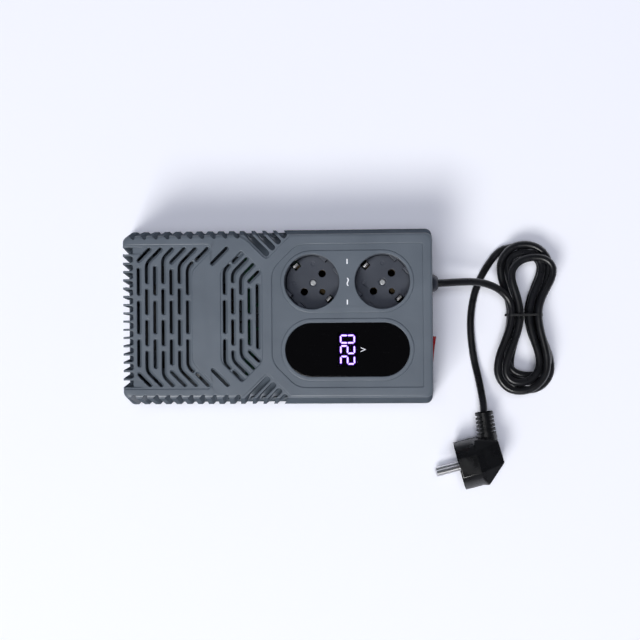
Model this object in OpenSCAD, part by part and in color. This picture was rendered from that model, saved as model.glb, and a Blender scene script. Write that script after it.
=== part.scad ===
// Desktop voltage stabilizer with two grounded sockets, a lit display, a rocker switch and a
// mains cord that is bundled in a tied hank. Millimetres. The origin is the middle of the base
// outline on the floor, +X points to the switch and the cord, and +Z is up.

/* [Case] */
// Length of the case at its base
base_l = 242; // [234:1:254]
// Width of the case at its base
base_w = 138; // [132:1:146]
// Height of the top face above the floor
case_h = 80; // [78:1:90]
// Height of the rubber feet
foot_h = 3; // [2:0.5:5]
// How far a long wall leans in over its height
draft_side = 9.2; // [8:0.1:12]
// How far the finned end leans in over its height
draft_back = 12.5; // [9:0.5:14]
// How far the switch end leans in over its height
draft_front = 2; // [1:0.25:4]
// Radius of the upright corners
corner_r = 5; // [3:0.5:7]
// Size of the rounding along the top edge
edge_r = 1.8; // [1:0.1:2.2]
// Thickness of the side walls
wall = 2.4; // [2:0.1:3]
// Thickness of the top wall
top_t = 2.8; // [2.4:0.1:3.4]
// Height of the seam between tray and cover
seam_z = 12; // [10:0.5:14]

/* [Vents] */
// Distance between two vent columns
vent_pitch = 6.08; // [5.6:0.02:6.3]
// Width of a vent slot
vent_w = 3.3; // [2.6:0.1:3.8]
// Half the height of a vent field, to the middle of its outer slot ends
vent_half = 49.8; // [47:0.1:50.6]
// Distance from the finned edge to the first vent column
vent_inset = 11.8; // [11:0.1:13]
// Depth of the two vent panels
panel_t = 0.7; // [0.4:0.1:1]
// Number of fins on the end wall
fin_count = 16; // [10:1:16]
// Distance between two fins
fin_pitch = 6.11; // [5.4:0.01:6.11]
// Thickness of a fin
fin_t = 1.5; // [1.2:0.1:2]
// Number of flutes along each long wall
flute_count = 14; // [13:1:14]
// Distance between two flutes, along the wall
flute_pitch = 8.6; // [8:0.1:8.8]
// Width of a flute, square to it
flute_w = 3.4; // [2.6:0.1:3.8]

/* [Sockets and display] */
// Distance between the two sockets
socket_pitch = 51.6; // [50:0.1:53]
// Radius of the opening round a socket
socket_r = 20.2; // [20:0.1:20.8]
// Depth of a socket, from the top face to its floor
socket_depth = 17.5; // [16:0.5:19]
// Distance between the two pin holes of a socket
pin_pitch = 19; // [18.8:0.1:19.2]
// Radius of a pin hole
pin_hole_r = 2.75; // [2.6:0.05:3]
// End radius of the raised plates round the sockets and the display
plate_r = 22.6; // [22:0.1:23]
// Distance of each plate's middle line from the middle of the case
plate_y = 24.9; // [24.4:0.1:25.6]
// End radius of the display window
window_r = 19.6; // [18:0.1:20]
// Thickness of the display window
window_t = 1.8; // [1.4:0.1:2]
// Height of a digit
digit_h = 11; // [9:0.5:12]
// Width of a digit
digit_w = 6.5; // [5:0.5:6.8]
// Distance between two digits
digit_pitch = 7.7; // [7.4:0.1:9]

/* [Switch] */
// Length of the rocker
rocker_l = 19.8; // [18:0.2:21]
// Height of the rocker
rocker_w = 12; // [10:0.5:12.5]
// Tilt of the rocker at rest, each way from its middle
rocker_tilt = 7; // [5:0.5:8]
// Height of the switch above the floor
switch_z = 42; // [40:1:44]

/* [Cord] */
// Diameter of the cord
cord_d = 5.8; // [5.4:0.1:5.8]
// Diameter of the gland's dome
gland_d = 12.4; // [11:0.2:14]
// Height of the gland above the floor
gland_z = 40; // [39:0.5:41]
// Radius of the plug's round face
plug_r = 18.7; // [18:0.1:19]
// Half the width of the plug across its flats
plug_flat = 17.2; // [16.5:0.1:17.5]
// Length of a plug pin
pin_l = 19; // [18:0.5:19.5]
// Radius of a plug pin
pin_r = 2.4; // [2:0.05:2.4]

/* [Hidden] */

$fn = 32;
over = 1;           // overrun of a cut
gap = 0.3;          // gap round pieces that slide into each other
slip = 0.2;         // gap round pieces that are pushed into place
thread_gap = 0.05;  // gap between a screw and its pilot hole
cap_n = 6;          // steps of a round slot end
corner_n = 6;       // steps of a rounded corner

GREY = [0.37, 0.39, 0.43];
DARK = [0.25, 0.27, 0.30];
BLACK = [0.06, 0.06, 0.07];
STEEL = [0.80, 0.81, 0.82];

// Outline functions

// A point's distance along the case height, 0 at the base and 1 at the top.
function frac(z) = (z - foot_h) / (case_h - foot_h);
function west(z) = -base_l / 2 + draft_back * frac(z);
function east(z) = base_l / 2 - draft_front * frac(z);
function side(z) = base_w / 2 - draft_side * frac(z);
function mix(a, b, s) = a + (b - a) * s;
function unit(v) = v / norm(v);
function flip(p) = [for (q = p) [q.x, -q.y]];
function shift(p, v) = [for (q = p) q + v];

// Rounded rectangle from x0 to x1 and from -y to y.
function ring(x0, x1, y, r) = [for (q = [0:3], i = [0:corner_n])
    let (a = 90 * (q + i / corner_n))
    [(q == 0 || q == 3 ? x1 - r : x0 + r) + r * cos(a), (q < 2 ? y - r : r - y) + r * sin(a)]];

// Polygon whose corners are rounded over the length c, one value for each corner.
function rounded(p, c) = [for (i = [0:len(p) - 1], k = [0:c[i] > 0 ? corner_n : 0])
    let (a = p[(i + len(p) - 1) % len(p)], b = p[(i + 1) % len(p)], s = k / corner_n,
        u = p[i] + unit(a - p[i]) * c[i], v = p[i] + unit(b - p[i]) * c[i])
    (1 - s) * (1 - s) * u + 2 * s * (1 - s) * p[i] + s * s * v];

// Slot outline along a path, reaching l to its left and r to its right, with round ends.
function stroke(p, l, r) = let (m = len(p) - 1,
    d = [for (i = [0:m]) unit(p[min(i + 1, m)] - p[max(i - 1, 0)])],
    n = [for (t = d) [-t.y, t.x]], w = (l + r) / 2)
    concat([for (i = [0:m]) p[i] + n[i] * l],
        [for (k = [1:cap_n - 1]) let (a = 180 * k / cap_n)
            p[m] + n[m] * (l - w + w * cos(a)) + d[m] * w * sin(a)],
        [for (i = [m:-1:0]) p[i] - n[i] * r],
        [for (k = [1:cap_n - 1]) let (a = 180 * k / cap_n)
            p[0] + n[0] * (l - w - w * cos(a)) - d[0] * w * sin(a)]);

function starts(list) = [for (i = 0, s = 0; i < len(list); s = s + len(list[i]), i = i + 1) s];

// Many outlines as one flat shape.
module outlines(list) {
    first = starts(list);
    polygon([for (o = list) each o],
        [for (i = [0:len(list) - 1]) [for (k = [0:len(list[i]) - 1]) first[i] + k]]);
}

module slab(z0, z1) {
    translate([0, 0, z0]) linear_extrude(z1 - z0) children();
}

module block(x0, x1, y0, y1, z0, z1) {
    translate([x0, y0, z0]) cube([x1 - x0, y1 - y0, z1 - z0]);
}

module rod(x, y, z0, z1, r) {
    translate([x, y, z0]) cylinder(r = r, h = z1 - z0);
}

// Solid through rings of points, each at its own height.
module loft(heights, rings) {
    n = len(rings[0]);
    m = len(rings) - 1;
    polyhedron(
        [for (k = [0:m], q = rings[k]) [q.x, q.y, heights[k]]],
        concat([[for (i = [0:n - 1]) i]],
            [[for (i = [n - 1:-1:0]) m * n + i]],
            [for (k = [0:m - 1], i = [0:n - 1]) let (j = (i + 1) % n)
                each [[k * n + i, k * n + n + i, k * n + j], [k * n + j, k * n + n + i, k * n + n + j]]]));
}

// Round tube along a route. The rings turn about the direction up, which the route never follows.
module tube(route, d, sides, up = [0, 0, 1]) {
    m = len(route) - 1;
    rings = [for (i = [0:m]) let (t = unit(route[min(i + 1, m)] - route[max(i - 1, 0)]),
        u = unit(cross(up, t)), v = cross(t, u))
        [for (k = [0:sides - 1]) let (a = 360 * (k + 0.5) / sides)
            route[i] + (u * cos(a) + v * sin(a)) * d / 2]];
    polyhedron([for (q = rings) each q],
        concat([[for (k = [sides - 1:-1:0]) k]], [[for (k = [0:sides - 1]) m * sides + k]],
            [for (i = [0:m - 1], k = [0:sides - 1])
                let (a = i * sides + k, b = i * sides + (k + 1) % sides)
                each [[a, b, a + sides], [b, b + sides, a + sides]]]));
}

// Case

top_z0 = case_h - top_t;               // underside of the top wall
edge_steps = 3;                        // steps of the rounded top edge
top_west = west(case_h);
top_east = east(case_h);
top_side = side(case_h);

// Lean of the flute and fin floors: their depth at the top edge and at the seam.
flute_top = 3;
flute_low = 2;
fin_top = 7.6;
fin_low = 1.2;
function flute_floor(z) = mix(side(seam_z) - flute_low, top_side - flute_top,
    (z - seam_z) / (case_h - seam_z));
function fin_floor(z) = mix(west(seam_z) + fin_low, top_west + fin_top,
    (z - seam_z) / (case_h - seam_z));
inner_r = 3;                           // corner radius of the hollow

// Case solid between two heights, with the rounded top edge where it reaches the top.
module case_solid(z0, z1) {
    round_top = z1 >= case_h;
    lean = [for (i = [0:edge_steps]) 90 * i / edge_steps];
    zs = round_top ? [for (a = lean) case_h - edge_r + edge_r * sin(a)] : [z1];
    ins = round_top ? [for (a = lean) edge_r * (1 - cos(a))] : [0];
    loft(concat([z0], zs), concat([ring(west(z0), east(z0), side(z0), corner_r)],
        [for (i = [0:len(zs) - 1])
            ring(west(zs[i]) + ins[i], east(zs[i]) - ins[i], side(zs[i]) - ins[i], corner_r)]));
}

// Vent slots. Each row is a column number, then three heights as shares of vent_half:
// the lower end, the bend and the upper end. Past the bend a slot runs outward at 45 degrees.
second_field = 63.8;                   // from the first column to the second field
turn = 3.4;                            // length over which a slot bends
left_share = [[0, .321, .741, .741], [2, .321, .765, .765], [4, .321, .715, .715],
    [6, .321, .727, .791], [1, .032, .430, .430], [3, .032, .430, .430], [5, .032, .430, .430],
    [1, .490, .797, 1], [3, .490, .869, 1], [5, .490, .769, 1],
    [0, .841, .841, 1], [4, .811, .811, 1], [7.1, .843, .843, 1], [9, .787, .787, 1]];
right_share = [[0, .321, .689, .751], [1, .032, .430, .430], [1, .492, .639, .841],
    [2, .319, .578, .757], [3, .032, .430, .430], [3, .516, .516, .647], [1.1, .811, .811, .928]];
left_mid = [0, 2, 4, 6];               // columns whose middle slot crosses the centre line
right_mid = [0, 2];
mid_share = .253;
last_mid = [4];
last_share = .486;
vent_x0 = top_west + vent_inset;
half_w = vent_w / 2;

function bent(x, y0, yb, y1) = yb > y0 && y1 > yb
    ? concat([[x, y0 + half_w]],
        [for (k = [0:corner_n]) let (s = k / corner_n)
            [x + s * s * turn * sqrt(.5), yb - turn * (1 - s) * (1 - s) + s * s * turn * sqrt(.5)]],
        [[x + y1 - yb, y1]])
    : yb > y0 ? [[x, y0 + half_w], [x, y1 - half_w]] : [[x, y0], [x + y1 - yb, y1]];
function field(rows, x0) = [for (r = rows)
    bent(x0 + r[0] * vent_pitch, r[1] * vent_half, r[2] * vent_half, r[3] * vent_half)];
function middles(cols, x0, s) = [for (c = cols) let (x = x0 + c * vent_pitch)
    [[x, half_w - s * vent_half], [x, s * vent_half - half_w]]];
vent_up = concat(field(left_share, vent_x0), field(right_share, vent_x0 + second_field));
vent_mid = concat(middles(left_mid, vent_x0, mid_share),
    middles(right_mid, vent_x0 + second_field, mid_share),
    middles(last_mid, vent_x0 + second_field, last_share));
vent_step = 1.3;                       // depth of the ledge inside a slot
vent_open = 1.8;                       // width of the slot below its ledge
vent_clear = 3;                        // free depth of a slot below the top wall
function vents(r) = concat([for (p = vent_up) stroke(p, half_w, r)],
    [for (p = vent_up) flip(stroke(p, half_w, r))],
    [for (p = vent_mid) stroke(p, half_w, r)]);

// Vent panels, shallow recesses round the two fields.
panel_edge = 6.5;                      // from the case edge to the left panel
left_x1 = vent_x0 + 6.5 * vent_pitch;
left_tip = 14.6;
tip_round = 2.6;
tip_soft = 1;
left_y = top_side - panel_edge;
left_bend = left_y - left_tip - tip_round * 2;
left_half = [[left_x1, left_bend], [left_x1 + left_tip, left_bend + left_tip],
    [left_x1 + left_tip, left_y - tip_round], [left_x1 + left_tip - tip_round, left_y]];
right_x0 = vent_x0 + second_field - 0.57 * vent_pitch;
right_w = 31;
right_bend = 33.5;
bend_round = 4;

module vent_panels() {
    polygon(rounded(concat([[top_west - corner_r, left_y]], [for (i = [3:-1:0]) left_half[i]],
        flip(left_half), [[top_west - corner_r, -left_y]]),
        [0, tip_soft, tip_soft, tip_soft, bend_round,
            bend_round, tip_soft, tip_soft, tip_soft, 0]));
    polygon(rounded([[right_x0, right_bend], [right_x0 + right_w / 2, right_bend + right_w / 2],
        [right_x0 + right_w, right_bend], [right_x0 + right_w, -right_bend],
        [right_x0 + right_w / 2, -right_bend - right_w / 2], [right_x0, -right_bend]],
        [bend_round, tip_round, bend_round, bend_round, tip_round, bend_round]));
}

// Socket panel, a recess that leaves two raised plates standing.
plate_in = 62.2;                       // from the switch end's top edge to the plates' middle
plate_x = top_east - plate_in;
recess_t = 0.8;
recess_w = 55.4;                       // from the plates' middle to the left edge of the recess
recess_y = 52.6;
recess_cut = 18.5;                     // legs of its two cut corners
recess_round = 1.5;
cut_round = 7;
recess_x0 = plate_x - recess_w;
recess_x1 = plate_x + recess_w;
cut_line = recess_y - recess_x0 - recess_cut;
recess_half = [[recess_x0, recess_y - recess_cut], [recess_x0 + recess_cut, recess_y],
    [recess_x1, recess_y]];

module socket_panel() {
    difference() {
        polygon(rounded(concat(recess_half, [for (i = [2:-1:0]) flip(recess_half)[i]]),
            [cut_round, cut_round, recess_round, recess_round, cut_round, cut_round]));
        for (s = [-1, 1]) stadium(s * plate_y, plate_r);
    }
}

// Stadium round the two socket centres, moved to the height y.
module stadium(y, r) {
    translate([plate_x, y]) {
        square([socket_pitch, 2 * r], center = true);
        for (s = [-1, 1]) translate([s * socket_pitch / 2, 0]) circle(r);
    }
}

// Flutes. Each lies at 45 degrees across the wall, and the last four reach into a corner notch.
notch_slots = 4;
notch_w = 4.2;                         // width of a notch slot
flute_y = top_side - 1;                // where the flutes are spaced
flute_edge = 6;                        // least length from the finned edge to the first flute
notch_shift = 15.9;                    // from the cut corner's middle to the last flute
flute_in = 0.2;                        // inner end of a flute, from that line
flute_out = base_w / 2 + flute_w;
notch_gap = 15.9;                      // from the cut corner of the socket panel to the slot ends
notch_rim = 3.6;                       // from a slot's middle line to the rim of the notch
notch_t = 1.8;                         // depth of the notch
notch_round = 3.4;
flare = 8;
function flute_sum(k) = recess_x0 + recess_y + notch_shift - (flute_count - 1 - k) * flute_pitch;
flute_first = max(0, ceil((top_west + flute_edge + flute_y - flute_sum(0)) / flute_pitch));
function flute_end(k) = k < flute_count - notch_slots ? flute_y + flute_in
    : (flute_sum(k) + cut_line + notch_gap) / 2;
function flute_path(k, y0, y1) = [[flute_sum(k) - y0, y0], [flute_sum(k) - y1, y1]];
function flute_list(k0, k1, w) = [for (k = [max(k0, flute_first):k1])
    stroke(flute_path(k, flute_end(k), flute_out), w / 2, w / 2)];

// Floor of the notch slots in the YZ plane, and the backing left below it.
notch_y0 = flute_end(flute_count - notch_slots) - notch_w / 2;
notch_z0 = case_h - notch_t - 0.7;
notch_drop = 15.5;
notch_run = 13.5;
back_t = 3.4;
notch_w0 = flute_sum(flute_count - notch_slots) - notch_rim * sqrt(2);
notch_e0 = cut_line + notch_gap - notch_rim * sqrt(2);
notch_tip = [(notch_w0 - notch_e0) / 2, (notch_w0 + notch_e0) / 2];

module notch_outline() {
    y1 = top_side - flute_in;
    y2 = top_side + corner_r;
    polygon(rounded([notch_tip, [y1 - notch_e0, y1], [y2 - notch_e0, y2],
        [notch_w0 - y1 - flare * 2, y2], [notch_w0 - y1 - flare * 2, y1], [notch_w0 - y1, y1]],
        [notch_round, recess_round, 0, 0, 0, flare]));
}

// Prism over the Y and Z outline p, from x0 to x1.
module along_x(x0, x1, p) {
    translate([x0, 0, 0]) rotate([90, 0, 90]) linear_extrude(x1 - x0) polygon(p);
}

// Prism over the X and Z outline p, from -y to y.
module along_y(y0, y1, p) {
    translate([0, y1, 0]) rotate([90, 0, 0]) linear_extrude(y1 - y0) polygon(p);
}

x_lo = -base_l / 2 - over;
x_hi = base_l / 2 + over;
y_hi = base_w / 2 + over;
z_hi = case_h + over;

module flutes(k0, k1, w, floor_line) {
    for (s = [0, 1]) mirror([0, s, 0]) intersection() {
        slab(foot_h - over, z_hi) outlines(flute_list(k0, k1, w));
        along_x(x_lo, flute_sum(flute_count) - flute_y + flare, concat(floor_line,
            [[y_hi, floor_line[len(floor_line) - 1].y], [y_hi, z_hi], [floor_line[0].x, z_hi]]));
    }
}

module wall_flutes() {
    flutes(0, flute_count - notch_slots - 1, flute_w,
        [[flute_floor(z_hi), z_hi], [flute_floor(foot_h - over), foot_h - over]]);
}

notch_y1 = notch_y0 + notch_run;
module notch_flutes() {
    flutes(flute_count - notch_slots, flute_count - 1, notch_w,
        [[notch_y0, notch_z0], [notch_y1, notch_z0 - notch_drop],
            [flute_floor(foot_h - over), foot_h - over]]);
}

// Holes through the flute floors, low on the long walls.
hole_w = 2.2;
hole_z0 = 18;
hole_z1 = 46;
module flute_holes() {
    for (s = [0, 1]) mirror([0, s, 0]) slab(hole_z0, hole_z1)
        outlines([for (k = [flute_first:flute_count - 1])
            stroke(flute_path(k, flute_floor(hole_z1) - wall - flute_w, flute_out),
                hole_w / 2, hole_w / 2)]);
}

// Fins: the slots between them, and a longer, shallower slot at each end of the row.
fin_gap = fin_pitch - fin_t;
fin_y = fin_pitch * (fin_count - 1) / 2;
end_slot_w = 5;
end_slot_l = 14.2;
end_slot_z = case_h - 2;
module fin_slots() {
    slots = [for (i = [0:fin_count - 2]) let (y = fin_pitch * (i + .5) - fin_y)
        stroke([[x_lo, y], [top_west + fin_top + slip - fin_gap / 2, y]], fin_gap / 2, fin_gap / 2)];
    ends = [for (s = [-1, 1]) let (y = s * (fin_y + fin_t / 2 + end_slot_w / 2))
        stroke([[x_lo, y], [top_west + end_slot_l - half_w, y]], end_slot_w / 2, end_slot_w / 2)];
    intersection() {
        slab(foot_h - over, z_hi) outlines(concat(slots, ends));
        along_y(-y_hi, y_hi, [[x_lo, foot_h - over], [fin_floor(foot_h - over), foot_h - over],
            [fin_floor(end_slot_z), end_slot_z], [top_west + end_slot_l, end_slot_z],
            [top_west + end_slot_l, z_hi], [x_lo, z_hi]]);
    }
    intersection() {
        slab(foot_h - over, z_hi) outlines(slots);
        along_y(-y_hi, y_hi, [[x_lo, foot_h - over], [fin_floor(foot_h - over), foot_h - over],
            [fin_floor(z_hi), z_hi], [x_lo, z_hi]]);
    }
}

// Hollow of the cover: a narrower part behind the flutes and a wider part behind the sockets.
hollow_split = recess_x0 + recess_cut;
module cover_hollow() {
    z0 = seam_z - over;
    difference() {
        union() {
            loft([z0, top_z0], [for (z = [z0, top_z0])
                ring(fin_floor(z) + wall, hollow_split + wall, flute_floor(z) - wall, inner_r)]);
            loft([z0, top_z0], [for (z = [z0, top_z0])
                ring(hollow_split - inner_r, east(z) - wall, side(z) - wall, inner_r)]);
        }
        for (s = [0, 1]) mirror([0, s, 0])
            along_x(notch_tip.x - recess_cut * 1.5, hollow_split - inner_r,
                [[notch_y0 - back_t, z_hi], [notch_y0 - back_t, notch_z0],
                    [notch_y0, notch_z0 - back_t], [notch_y1, notch_z0 - notch_drop - back_t],
                    [y_hi, notch_z0 - notch_drop - back_t], [y_hi, z_hi]]);
    }
}

// Case screws: bosses in the cover, posts in the tray.
back_in = [10.9, 13.8];                // from the top edges to a boss behind the fins
front_in = [11, 3.8];                  // from the top edges to a boss at the switch end
screw_back = [top_west + back_in.x, top_side - back_in.y];
screw_front = [top_east - front_in.x, top_side - front_in.y];
screw_at = [for (p = [screw_back, screw_front], s = [-1, 1]) [p.x, s * p.y]];
boss_r = 3.8;
boss_h = 28;
rib_t = 2.4;
shaft_r = 1.5;
shaft_l = 24;
head_r = 3;
head_h = 1.9;
floor_t = 3;                           // thickness of the tray's floor
floor_z = foot_h + floor_t;

module screw_bosses() {
    for (p = screw_at) {
        rod(p.x, p.y, seam_z, seam_z + boss_h, boss_r);
        rim = side(seam_z + boss_h) - wall / 2;
        translate([p.x - rib_t / 2, p.y > 0 ? p.y : -rim, seam_z])
            cube([rib_t, rim - abs(p.y), boss_h]);
    }
}

module case_screws() color(STEEL) {
    for (p = screw_at) {
        rod(p.x, p.y, foot_h + thread_gap, foot_h + thread_gap + head_h, head_r);
        rod(p.x, p.y, foot_h + thread_gap, foot_h + shaft_l, shaft_r);
    }
}

// Window pocket, its ledge and the posts that carry the display board.
pocket_z = case_h - window_t - slip * 2;
ledge_r = window_r - 1.8;
ledge_z = top_z0 - 1.6;
board_t = 1.6;
display_drop = 12;
display_z = case_h - display_drop;     // underside of the display board
post_r = 2.4;
post_x = socket_pitch / 2 + ledge_r + 2.4;
window_y = -plate_y;
posts_at = [for (s = [-1, 1]) [plate_x + s * post_x, window_y]];

tap_r = 1.1;                           // screws of the two boards
tap_l = 6;
tap_head = [2, 1.4];

module display_ledge() {
    slab(ledge_z, top_z0 + over / 2) difference() {
        stadium(window_y, plate_r);
        stadium(window_y, ledge_r);
    }
    for (p = posts_at) rod(p.x, p.y, display_z + board_t, ledge_z + over / 2, post_r);
}

// Switch and gland cut-outs in the end wall.
switch_y = -plate_y;
flange_t = 1.5;
flange = [26, 17.2];                   // width and height of the switch's flange
switch_body = [24, 15.2];              // width and height of its body
switch_x = east(switch_z);             // outer face of the wall at the switch
gland_y = 24.4;
neck_r = 4.4;
gland_x = east(gland_z);

module end_wall_cuts() {
    block(switch_x - wall * 2, x_hi, switch_y - switch_body.x / 2 - slip,
        switch_y + switch_body.x / 2 + slip, switch_z - switch_body.y / 2 - slip,
        switch_z + switch_body.y / 2 + slip);
    block(switch_x - flange_t, x_hi, switch_y - flange.x / 2 - slip,
        switch_y + flange.x / 2 + slip, switch_z - flange.y / 2 - slip,
        switch_z + flange.y / 2 + slip);
    translate([gland_x - wall * 2, gland_y, gland_z]) rotate([0, 90, 0])
        cylinder(r = neck_r + slip, h = wall * 4);
}

sockets_at = [for (s = [-1, 1]) [plate_x + s * socket_pitch / 2, plate_y]];

module top_cover() color(GREY) difference() {
    union() {
        difference() {
            case_solid(seam_z, case_h);
            cover_hollow();
        }
        screw_bosses();
        display_ledge();
    }
    slab(case_h - panel_t, z_hi) vent_panels();
    slab(case_h - recess_t, z_hi) socket_panel();
    slab(case_h - notch_t, z_hi) notch_outline();
    slab(case_h - notch_t, z_hi) mirror([0, 1]) notch_outline();
    slab(case_h - vent_step - panel_t, z_hi) outlines(vents(half_w));
    slab(top_z0 - vent_clear, z_hi) outlines(vents(vent_open - half_w));
    wall_flutes();
    notch_flutes();
    flute_holes();
    fin_slots();
    for (p = sockets_at) rod(p.x, p.y, top_z0 - over, z_hi, socket_r);
    slab(pocket_z, z_hi) stadium(window_y, window_r + slip);
    slab(ledge_z - over, z_hi) stadium(window_y, ledge_r);
    end_wall_cuts();
    for (p = screw_at) rod(p.x, p.y, seam_z - over, foot_h + shaft_l + over, shaft_r + thread_gap);
    for (p = posts_at) rod(p.x, p.y, display_z, display_z + tap_l, tap_r + thread_gap);
}

// Base tray with its lip, posts and floor vents.
tray_y = flute_floor(seam_z) - wall;
lip_h = 4;
lip_t = 1.6;
tray_slot_l = 40;
tray_slots = 5;
tray_slot_pitch = 8;
standoff_r = 3;
board_z = 16;                          // underside of the main board
core_in = 42.5;                        // from the finned edge to the transformer's middle
core_x = top_west + core_in;
coil = [65, 50];
pillar_in = 19;                        // from the switch end's top edge to the cord clamp's pillar
pillar_x = top_east - pillar_in;
board_gap = [7.5, 4];                  // from the board to the transformer and to the pillar
board_x0 = core_x + coil.x / 2 + board_gap.x;
board_x1 = pillar_x - board_gap.y;
tray_slot_x = board_x0 + 11;           // the floor vents lie under the board
board_y = 51;
standoff_in = 5;
standoffs_at = [for (x = [board_x0 + standoff_in, board_x1 - standoff_in], s = [-1, 1])
    [x, s * (board_y - standoff_in)]];
pillar = [8, 24];                      // size of the pillar under the cord clamp

module lip(x0, x1, y) {
    for (s = [0, 1]) mirror([0, s, 0])
        block(x0, x1, y - gap - lip_t, y - gap, floor_z, seam_z + lip_h);
}

module base_tray() color(GREY) difference() {
    union() {
        difference() {
            case_solid(foot_h, seam_z);
            slab(floor_z, seam_z + over)
                polygon(ring(fin_floor(seam_z) + wall, east(seam_z) - wall, tray_y, inner_r));
        }
        lip(screw_back.x + boss_r * 2, hollow_split - wall, flute_floor(seam_z + lip_h) - wall);
        for (p = screw_at) rod(p.x, p.y, floor_z - over, seam_z, boss_r);
        for (p = standoffs_at) rod(p.x, p.y, floor_z - over, board_z, standoff_r);
        block(pillar_x, pillar_x + pillar.x, gland_y - pillar.y / 2, gland_y + pillar.y / 2,
            floor_z - over, gland_z);
    }
    wall_flutes();
    notch_flutes();
    fin_slots();
    for (p = screw_at) {
        rod(p.x, p.y, foot_h - over, foot_h + head_h + slip, head_r + slip);
        rod(p.x, p.y, foot_h, seam_z + over, shaft_r + slip);
    }
    for (p = standoffs_at) rod(p.x, p.y, board_z - tap_l, board_z + over, tap_r + thread_gap);
    slab(foot_h - over, floor_z + over) outlines([for (i = [0:tray_slots - 1], s = [-1, 1])
        let (x = tray_slot_x + i * tray_slot_pitch)
        stroke([[x, s * half_w * 3], [x, s * (half_w * 3 + tray_slot_l)]], half_w, half_w)]);
    translate([pillar_x - over, gland_y, gland_z]) rotate([0, 90, 0])
        cylinder(r = cord_d / 2 + thread_gap, h = pillar.x + over * 2);
    for (p = clamp_at) rod(p.x, p.y, gland_z - clamp_l, gland_z + over, shaft_r + thread_gap);
    for (p = bracket_at) rod(p.x, p.y, foot_h + floor_t / 4, floor_z + over, bolt_r + thread_gap);
}

foot_r = 7;
foot_in = [37, 29, 13];                // from the base's finned end, switch end and long sides
feet_at = [for (x = [foot_in[0] - base_l / 2, base_l / 2 - foot_in[1]], s = [-1, 1])
    [x, s * (base_w / 2 - foot_in[2])]];
module rubber_feet() color(BLACK) {
    for (p = feet_at) rod(p.x, p.y, 0, foot_h, foot_r);
}

// Display

module display_window() color(BLACK) slab(pocket_z, pocket_z + window_t) stadium(window_y, window_r);

display_w = 30;
module display_board() color([0.05, 0.25, 0.15]) difference() {
    block(plate_x - post_x - post_r, plate_x + post_x + post_r, window_y - display_w / 2,
        window_y + display_w / 2, display_z, display_z + board_t);
    for (p = posts_at) rod(p.x, p.y, display_z - over, display_z + board_t + over, tap_r + slip);
}

digit_n = 3;
module_in = 2.2;                       // rim of the digit module round its digits
segment_t = 0.1;
module_z = pocket_z - 0.5;
module_w = digit_n * digit_pitch + module_in;
module digit_module() color(BLACK) {
    block(plate_x - digit_h / 2 - module_in, plate_x + digit_h / 2 + module_in,
        window_y - module_w / 2, window_y + module_w / 2, display_z + board_t, module_z);
}

// Seven segments, numbered from the top clockwise with the middle one last.
segment_w = 1.1;
shown = [[0, 1, 6, 4, 3], [0, 1, 6, 4, 3], [0, 1, 2, 3, 4, 5]];   // the plain number 220
module segment(s) {
    w = digit_w - segment_w;
    h = (digit_h - segment_w) / 2;
    at = [[0, h], [w / 2, h / 2], [w / 2, -h / 2], [0, -h], [-w / 2, -h / 2], [-w / 2, h / 2], [0, 0]];
    upright = s == 1 || s == 2 || s == 4 || s == 5;
    l = ((upright ? h : w) - segment_w) / 2 - segment_w / 8;
    tip = segment_w / 2;
    translate(at[s]) rotate(upright ? 90 : 0)
        polygon([[-l - tip, 0], [-l, tip], [l, tip], [l + tip, 0], [l, -tip], [-l, -tip]]);
}

module lit_digits() color([0.85, 0.7, 1]) {
    for (i = [0:digit_n - 1], s = shown[i])
        translate([plate_x, window_y + (i - (digit_n - 1) / 2) * digit_pitch, module_z])
            linear_extrude(segment_t) rotate(90) segment(s);
}

// Sockets. The pins lie on a line at 45 degrees, and the earth clips on the other diagonal.
bowl_t = 1.6;
bowl_r = socket_r - 0.5;
bowl_floor_t = 3;
bowl_z = case_h - socket_depth;
under_z = bowl_z - bowl_floor_t;
key_r = 17;                            // distance of the keying flats from the middle
key_h = 11.5;
key_notch = 7.8;
bar = [30, 13];                        // contact housing below the floor
bar_h = 15.5;
channel_r = 3.9;
sleeve_r = 3.6;
sleeve_in = 2.45;
strap_t = 0.8;
strap_w = 4;
strap_r = 17.2;                        // inner face of a clip
clip_slot = [15.3, 5.6];               // where the clip slot starts, and its width
clip_z = case_h - 5;
clip_bulge = 1.3;
tunnel = 1.7;                          // height of the strap's tunnel
core_screw_r = 2.15;
core_hole_r = 2.85;
core_shaft_r = 1.4;
core_head = 1.2;
core_l = 12;
extra_r = 2.3;
extra_at = 9.7;
dimple_r = 1.5;
dimple_at = 14.1;

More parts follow.
